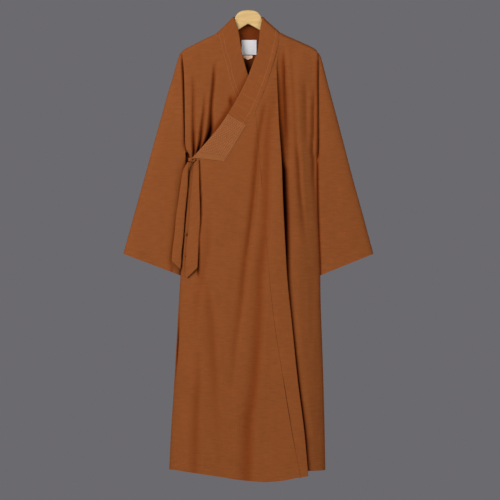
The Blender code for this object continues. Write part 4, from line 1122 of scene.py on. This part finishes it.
class ROBE_OT_collar(bpy.types.Operator):
    """Make the collar: both front bands, the stitched end and the back of the neck"""

    bl_idname = "robe.collar"
    bl_label = "Make collar"

    def execute(self, context):
        band = cloth_settings().band / MM
        across = band_columns()
        profile = band_profile(across, band)

        seam_z = fine([TOP_LINE.at("z", NECK_POINT_X), -150, JOIN_SEAM_Z + SEAM / 2], 1.6)
        outer = band_grid(OUTER_COLLAR, COLLAR_TOP_Z, JOIN_EDGE_Z + SEAM / 2, seam_z, outer_band_depth,
                          across, band)
        grooves = sum(bell(off_line(outer, *ends), 0, 0.9) for ends in PIECING)

        rows = np.linspace(0, STITCH_SHARE, STITCH_ROWS * END_STEPS + 1)
        ribs = 0.45 * np.abs(np.sin(np.arange(len(rows)) * math.pi / END_STEPS)) - 0.1
        tail = np.linspace(STITCH_SHARE, 1, 14)[1:]
        tail_lines = -0.35 * (np.arange(len(tail)) % 3 == 1)
        relief = np.concatenate([ribs, tail_lines])[:, None] * ramp((1 - across) * 12) * ramp(across * 12)
        seam_z = blend(JOIN_SEAM_Z - SEAM / 2, COLLAR_END_Z, np.concatenate([rows, tail]))
        end = band_grid(OUTER_COLLAR, JOIN_EDGE_Z - SEAM / 2, -443, seam_z, outer_band_depth, across, band)
        row = np.arange(len(relief))
        # Painted shade in the grooves between the stitched end's rows.
        between = END_SHADE * (0.5 + 0.5 * np.cos(row * math.pi / END_STEPS)) * (row < len(rows))

        seam_z = fine([TOP_LINE.at("z", -NECK_POINT_X), UNDER_COLLAR_END_Z], 6)
        under = band_grid(UNDER_COLLAR, COLLAR_TOP_Z, -390, seam_z, under_band_depth, across, band)[:, ::-1]
        # Painted shadow of the outer collar's edge on the under collar.
        shade = beside_collar(under[..., 0], under[..., 2])

        for name, middle, finish, slot, node, length, rests_on, relief in (
            ("collar_outer", outer, "collar_cloth", "collar", "collar_left", 340, ["front_left"],
             {"raised": profile - 0.4 * grooves}),
            ("collar_end", end, "stitched_cloth", "stitched_collar", "collar_stitched", 172,
             ["front_overlap"], {"raised": profile + relief, "crease": between[:, None]}),
            ("collar_under", under, "collar_cloth", "collar", "collar_right", 425, ["front_under"],
             {"raised": profile[::-1], "crease": shade}),
            # The back of the neck carries painted shade on its inner face.
            ("collar_neck", collar_back_grid(), "collar_cloth", "collar", "collar_back", 210,
             ["back_body", "hanger"], {"inside": 0.42}),
        ):
            lay(name, middle, band, finish, slot, node, (BAND_CUT, length), rests_on, **relief)
        return {"FINISHED"}


def strap_grid(table, top, bottom, tip):
    """A hanging strap with a pointed end, given the z of its left and right edge at top and bottom."""
    down = np.concatenate([np.linspace(0, 0.96, 70), [0.975, 0.985, 0.992, 0.997, 1]])
    left_z, right_z = (blend(top[side], bottom[side], down) for side in (0, 1))
    left_x, right_x = table.at("left", left_z), table.at("right", right_z)
    share = (tip[0] - left_x[-1]) / (right_x[-1] - left_x[-1])
    edge = np.array([0, 0.01, 0.03, 0.06, 0.1, 0.14])
    across = np.unique(np.concatenate([edge, np.linspace(0.18, 0.82, 11), 1 - edge, [share]]))
    bottom_x = blend(left_x[-1], right_x[-1], across)
    x, z = coons(
        (blend(left_x[0], right_x[0], across), blend(left_z[0], right_z[0], across)),
        (bottom_x, np.interp(across, [0, share, 1], [left_z[-1], tip[1], right_z[-1]])),
        (left_x, left_z), (right_x, right_z),
        across, down,
    )
    depth = blend(table.at("left_depth", z), table.at("right_depth", z), across)
    depth = depth + 1.5 * (1 - (2 * across - 1) ** 2) + 0.5 * unevenness(x, z, 23, 16, 60)
    return placed(x, z, -depth), across


def knot_line(turns, bights, count):
    """A cord's line that passes over and under itself round a ball of about unit radius."""
    t = np.linspace(0, math.tau, count, endpoint=False)
    longitude, latitude = turns * t, 0.95 * np.sin(bights * t)
    level = np.cos(latitude)
    ball = np.stack([level * np.cos(longitude), level * np.sin(longitude), np.sin(latitude)], axis=-1)
    return ball * (1 + 0.20 * np.cos(bights * 2 * t + 0.6))[:, None]


def tube(points, wide, thick, sides=10):
    """Faces and points of a closed cord that is wide across the ball and thick out of it."""
    tangent = np.roll(points, -1, axis=0) - np.roll(points, 1, axis=0)
    tangent /= np.linalg.norm(tangent, axis=1, keepdims=True)
    out = points / np.linalg.norm(points, axis=1, keepdims=True)
    across = np.cross(tangent, out)
    across /= np.linalg.norm(across, axis=1, keepdims=True)
    out = np.cross(across, tangent)
    turn = np.linspace(0, math.tau, sides, endpoint=False)[None, :, None]
    ring = points[:, None] + across[:, None] * np.cos(turn) * wide + out[:, None] * np.sin(turn) * thick
    count = len(points)
    index = np.arange(count * sides).reshape(count, sides)
    right, up = np.roll(index, -1, axis=0), np.roll(index, -1, axis=1)
    faces = np.stack([index, up, np.roll(right, -1, axis=1), right], axis=-1).reshape(-1, 4)
    return ring.reshape(-1, 3), faces


class ROBE_OT_ties(bpy.types.Operator):
    """Make the knot, both hanging straps and the two knotted buttons"""

    bl_idname = "robe.ties"
    bl_label = "Make ties"

    def execute(self, context):
        band = cloth_settings().band / MM
        for name, table, top, bottom, tip, node, cut in (
            ("strap_short", SHORT_STRAP, (-457, -457.5), (-751, -757), (-203, -777), "tie_short", (31, 330)),
            ("strap_long", LONG_STRAP, (-459, -447), (-797, -772), (-181.5, -802), "tie_long", (38, 360)),
        ):
            middle, across = strap_grid(table, top, bottom, tip)
            profile = -0.36 * band * (bell(across, 0, 0.03) + bell(across, 1, 0.03))
            profile = profile - 0.4 * (bell(across, 0.1, 0.025) + bell(across, 0.9, 0.025))
            lay(name, middle, band, "robe_cloth", "cloth", node, cut, ["front_overlap"],
                raised=profile, lining=profile * 0.5)

        knots = [
            ("tie_knot_cloth", "tie_knot", KNOT_PLACE, np.array(KNOT_HALF), (2, 3, 96), 0.72, (0.34, 0.26)),
        ]
        knots += [
            (f"button_{key}", f"tie_button_{key}", place, BUTTON_RADIUS, (2, 5, 120), 0.74, (0.25, 0.24, 8))
            for key, place in BUTTON_PLACES.items()
        ]
        for name, node, place, half, path, reach, cord in knots:
            points, faces = tube(knot_line(*path) * reach, *cord)
            made = add_mesh(name, np.array(place) + points * half, faces.tolist(), finish_named("robe_cloth"))
            on_robe(made, "cloth", node)
        return {"FINISHED"}


class ROBE_OT_labels(bpy.types.Operator):
    """Make the bare neck label and the tag below it"""

    bl_idname = "robe.labels"
    bl_label = "Make labels"

    def execute(self, context):
        for name, node, slot, finish, box, bend in (
            ("label_neck", "neck_label", "label", "label_weave", (-19.5, 25.5, -88.5, -133, -133), 0.5),
            ("label_tag", "size_tag", "tag", "tag_weave", (-13.5, 13.5, -135, -142, -148), 0.3),
        ):
            left, right, top, bottom, point = box
            across = np.array([0, 0.01, 0.03, 0.06, 0.1, 0.2, 0.35, 0.5, 0.65, 0.8, 0.9, 0.94, 0.97, 0.99, 1])
            lower = np.interp(across, [0, 0.5, 1], [bottom, point, bottom])
            down = np.array([0, 0.01, 0.03, 0.06, 0.12, 0.25, 0.4, 0.55, 0.7, 0.85, 0.94, 0.98, 1])[:, None]
            x = blend(left, right, across)[None, :].repeat(len(down), axis=0)
            z = blend(top, lower[None, :], down)
            y = layer_depth("back", x, z) - 1.8 - bend * np.sin(across * math.pi) * np.sin(down * math.pi)
            middle = np.stack([x, y, z], axis=-1)
            rim = np.minimum(np.minimum(across, 1 - across)[None, :], np.minimum(down, 1 - down))
            piece = add_sheet(name, middle, LABEL_WALL, finish_named(finish), raised=0.25 * below(rim, 0.08, 0.04))
            on_robe(piece, slot, node)
            hung((right - left, top - point), flat_area(middle))
        return {"FINISHED"}


class ROBE_OT_hanger(bpy.types.Operator):
    """Give the wooden hanger its grain and satin finish"""

    bl_idname = "robe.hanger"
    bl_label = "Finish hanger"

    def execute(self, context):
        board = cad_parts["hanger"]
        wood = finish_named("pale_wood")
        if not board.material_slots:
            board.data.materials.append(wood)
        for place in board.material_slots:
            place.material = wood
        return {"FINISHED"}


# ---------------------------------------------------------------- stitches

def offset_line(surface, edge, distance):
    """Points of a line that runs along one edge of a surface at a distance from it."""
    turned = surface.transpose(1, 0, 2)
    grid = {"bottom": surface[::-1], "left": turned, "right": turned[::-1]}[edge]
    return np.stack([at_distance(column, distance) for column in grid.transpose(1, 0, 2)])


def at_distance(points, distance):
    """Points at one or more distances along a line."""
    along = distances(points)
    return np.stack([np.interp(distance, along, points[:, axis]) for axis in range(3)], axis=-1)


def hem_lines():
    """Lines of sewing above the hems and cuffs, and along the straps."""
    lines = [offset_line(SURFACES[name], "bottom", HEM_TURN)[4:-4]
             for name in ("front_left", "front_overlap", "back_body")]
    for name in ("sleeve_right", "sleeve_left"):
        cuff = offset_line(SURFACES[name], "bottom", CUFF_TURN)
        lines.append(np.concatenate([cuff, cuff[:1]]))
    for name in ("strap_short", "strap_long"):
        lines += [offset_line(SURFACES[name], edge, STRAP_TURN)[3:-3] for edge in ("left", "right")]
    return lines


def piecing_lines():
    """Lines of sewing where the collar band is pieced."""
    collar = SURFACES["collar_outer"].reshape(-1, 3)
    lines = []
    for start, end in PIECING:
        flat = blend(np.array(start), np.array(end), np.linspace(0.03, 0.97, 40)[:, None])
        near = np.array([np.argmin(np.linalg.norm(collar[:, [0, 2]] - place, axis=1)) for place in flat])
        lines.append(np.stack([flat[:, 0], collar[near, 1], flat[:, 1]], axis=1))
    return lines


def trim_lines():
    """Two lines of sewing along each collar band: at its seam and a little inside."""
    lines = []
    from_seam = (1 - band_columns()) * BAND_WIDTH
    for distance in (SEAM_LINE, LAYER_LINE):
        column = int(np.argmin(np.abs(from_seam - distance)))
        lines.append(SURFACES["collar_outer"][2:, column])
        lines.append(SURFACES["collar_under"][2:, len(from_seam) - 1 - column])
    lines.append(SURFACES["collar_end"][:, int(np.argmin(np.abs(from_seam - SEAM_LINE)))])
    return lines


def end_lines(spacing):
    """Rows of sewing across the stitched end; every second row starts half a stitch later."""
    end = SURFACES["collar_end"]
    lines = []
    for place, row in enumerate(range(END_STEPS, STITCH_ROWS * END_STEPS, 2 * END_STEPS)):
        points = end[row, 4:-4]
        stops = np.arange(spacing / 2 * (place % 2), distances(points)[-1], 1.5)
        lines.append(at_distance(points, stops))
    return lines


def stitch_tree():
    """Geometry nodes that lay short threads along every line."""
    tree = bpy.data.node_groups.new("running stitches", "GeometryNodeTree")
    face = tree.interface
    face.new_socket("Geometry", in_out="INPUT", socket_type="NodeSocketGeometry")
    for name in ("Spacing", "Length", "Thread"):
        face.new_socket(name, in_out="INPUT", socket_type="NodeSocketFloat")
    face.new_socket("Sides", in_out="INPUT", socket_type="NodeSocketInt")
    face.new_socket("Material", in_out="INPUT", socket_type="NodeSocketMaterial")
    face.new_socket("Geometry", in_out="OUTPUT", socket_type="NodeSocketGeometry")

    def node(kind, settings=None, **links):
        made = tree.nodes.new(kind)
        for key, value in (settings or {}).items():
            setattr(made, key, value)
        for key, value in links.items():
            socket = made.inputs[key.replace("_", " ")]
            if isinstance(value, bpy.types.NodeSocket):
                tree.links.new(value, socket)
            else:
                socket.default_value = value
        return made

    given = tree.nodes.new("NodeGroupInput").outputs
    curves = node("GeometryNodeMeshToCurve", Mesh=given["Geometry"]).outputs["Curve"]
    places = node("GeometryNodeCurveToPoints", {"mode": "LENGTH"}, Curve=curves, Length=given["Spacing"])
    ball = node("GeometryNodeMeshUVSphere", Segments=given["Sides"], Rings=4, Radius=0.5).outputs["Mesh"]
    thread = given["Thread"]
    size = node("ShaderNodeCombineXYZ", X=thread, Y=thread, Z=given["Length"]).outputs["Vector"]
    spread = node("GeometryNodeInstanceOnPoints", Points=places.outputs["Points"], Instance=ball,
                  Rotation=places.outputs["Rotation"], Scale=size)
    whole = node("GeometryNodeRealizeInstances", Geometry=spread.outputs["Instances"])
    finished = node("GeometryNodeSetMaterial", Geometry=whole.outputs["Geometry"], Material=given["Material"])
    out = tree.nodes.new("NodeGroupOutput")
    tree.links.new(finished.outputs["Geometry"], out.inputs["Geometry"])
    return tree


def sewn(name, lines, tree, finish, share, longer=1.0):
    """One mesh of short threads along every line, thinner or longer by a share."""
    settings = bpy.context.scene.robe_stitches
    edges, start = [], 0
    for points in lines:
        edges += [(start + k, start + k + 1) for k in range(len(points) - 1)]
        start += len(points)
    mesh = bpy.data.meshes.new(name + "_lines")
    mesh.from_pydata((np.concatenate(lines) * MM).tolist(), edges, [])
    guide = linked(name + "_lines", mesh)
    modifier = guide.modifiers.new("stitches", "NODES")
    modifier.node_group = tree
    values = {"Spacing": settings.spacing * longer, "Length": settings.length * longer,
              "Thread": settings.thread * share, "Sides": settings.sides, "Material": finish_named(finish)}
    for item in tree.interface.items_tree:
        if item.in_out == "INPUT" and item.name in values:
            modifier[item.identifier] = values[item.name]
    guide.update_tag()
    shown = guide.evaluated_get(bpy.context.evaluated_depsgraph_get())
    thread = linked(name, bpy.data.meshes.new_from_object(shown))
    thread.data.shade_smooth()
    bpy.data.objects.remove(guide, do_unlink=True)
    return thread


class ROBE_OT_stitches(bpy.types.Operator):
    """Lay the sewing thread along the hems, cuffs, collar lines, stitched rows and strap edges"""

    bl_idname = "robe.stitches"
    bl_label = "Make stitches"

    def execute(self, context):
        tree = stitch_tree()
        spacing = context.scene.robe_stitches.spacing / MM * END_STITCH
        for name, lines, *thread in (
            ("trim_stitches", trim_lines(), "sewing_thread", 1.0),
            ("piecing_stitches", piecing_lines(), "sewing_thread", 0.7),
            ("hem_stitches", hem_lines(), "hem_thread", 0.6),
            ("end_stitches", end_lines(spacing), "end_thread", 2.2, END_STITCH),
        ):
            on_robe(sewn(name, lines, tree, *thread), "cloth")
        return {"FINISHED"}


# ---------------------------------------------------------------- stage

FRAME_WIDTH = 1.5        # metres across the picture at the object


class ROBE_OT_stage(bpy.types.Operator):
    """Make the floor, the lights, the plain backdrop and the camera"""

    bl_idname = "robe.stage"
    bl_label = "Make stage"

    def execute(self, context):
        settings = context.scene.robe_stage
        floor_z = CAD_BOX[0].z - settings.floor_gap
        turn = np.linspace(0, math.tau, 96, endpoint=False)
        ring = np.stack([np.cos(turn), np.sin(turn), 0 * turn], axis=-1) * settings.floor_radius
        mesh = bpy.data.meshes.new("floor")
        mesh.from_pydata((ring + [0, 0, floor_z]).tolist(), [], [list(range(len(turn)))])
        mesh.materials.append(plain_material("pale_floor", (0.62, 0.61, 0.60), 0.7))
        floor = linked("floor", mesh)

        context.scene.view_settings.view_transform = "Standard"
        world = bpy.data.worlds.new("plain backdrop")
        world.use_nodes = True
        world.node_tree.nodes["Background"].inputs["Color"].default_value = (*settings.backdrop, 1)
        context.scene.world = world

        for name, place, aim, size, power in (
            ("key_light", (-1.9, -2.5, 0.75), (0, 0, -0.55), 2.3, settings.key_power),
            ("fill_light", (2.8, -3.2, -0.2), (0, 0, -0.7), 2.4, settings.fill_power),
            ("rear_light", (0.8, 3.2, -0.1), (0, 0, -0.7), 2.2, settings.fill_power * 1.5),
        ):
            light = bpy.data.lights.new(name, "AREA")
            light.shape = "SQUARE"
            light.size = size
            light.energy = power
            lamp = linked(name, light)
            lamp.location = place
            lamp.rotation_euler = look_along(np.subtract(aim, place))

        camera = bpy.data.cameras.new("front_camera")
        camera.lens, camera.sensor_width = 200.0, 36.0
        camera.clip_start, camera.clip_end = 0.1, 100
        viewer = linked("front_camera", camera)
        viewer.location = (0.006, -FRAME_WIDTH * camera.lens / camera.sensor_width, -0.7194)
        viewer.rotation_euler = look_along((0, 1, 0))
        context.scene.camera = viewer
        return {"FINISHED"}


def look_along(direction):
    return Vector(direction).to_track_quat("-Z", "Y").to_euler()


# ---------------------------------------------------------------- add-on

OPERATORS = (
    ROBE_OT_stage, ROBE_OT_fronts, ROBE_OT_back, ROBE_OT_sleeves, ROBE_OT_collar, ROBE_OT_ties,
    ROBE_OT_labels, ROBE_OT_hanger, ROBE_OT_stitches,
)
SETTINGS = {
    "robe_cloth": ROBE_PG_cloth, "robe_stitches": ROBE_PG_stitches,
    "robe_trim": ROBE_PG_trim, "robe_stage": ROBE_PG_stage,
}


class ROBE_PT_panel(bpy.types.Panel):
    bl_label = "Robe"
    bl_idname = "ROBE_PT_panel"
    bl_space_type = "VIEW_3D"
    bl_region_type = "UI"
    bl_category = "Robe"

    def draw(self, context):
        for name, group in SETTINGS.items():
            box = self.layout.box()
            for key in group.__annotations__:
                box.prop(getattr(context.scene, name), key)
        for operator in OPERATORS:
            self.layout.operator(operator.bl_idname)


def register():
    for kind in (*SETTINGS.values(), *OPERATORS, ROBE_PT_panel):
        bpy.utils.register_class(kind)
    for name, group in SETTINGS.items():
        setattr(bpy.types.Scene, name, PointerProperty(type=group))


def unregister():
    for name in SETTINGS:
        delattr(bpy.types.Scene, name)
    for kind in reversed((*SETTINGS.values(), *OPERATORS, ROBE_PT_panel)):
        bpy.utils.unregister_class(kind)


def main():
    register()
    for operator in OPERATORS:
        group, name = operator.bl_idname.split(".")
        getattr(getattr(bpy.ops, group), name)()


if __name__ == "__main__":
    main()
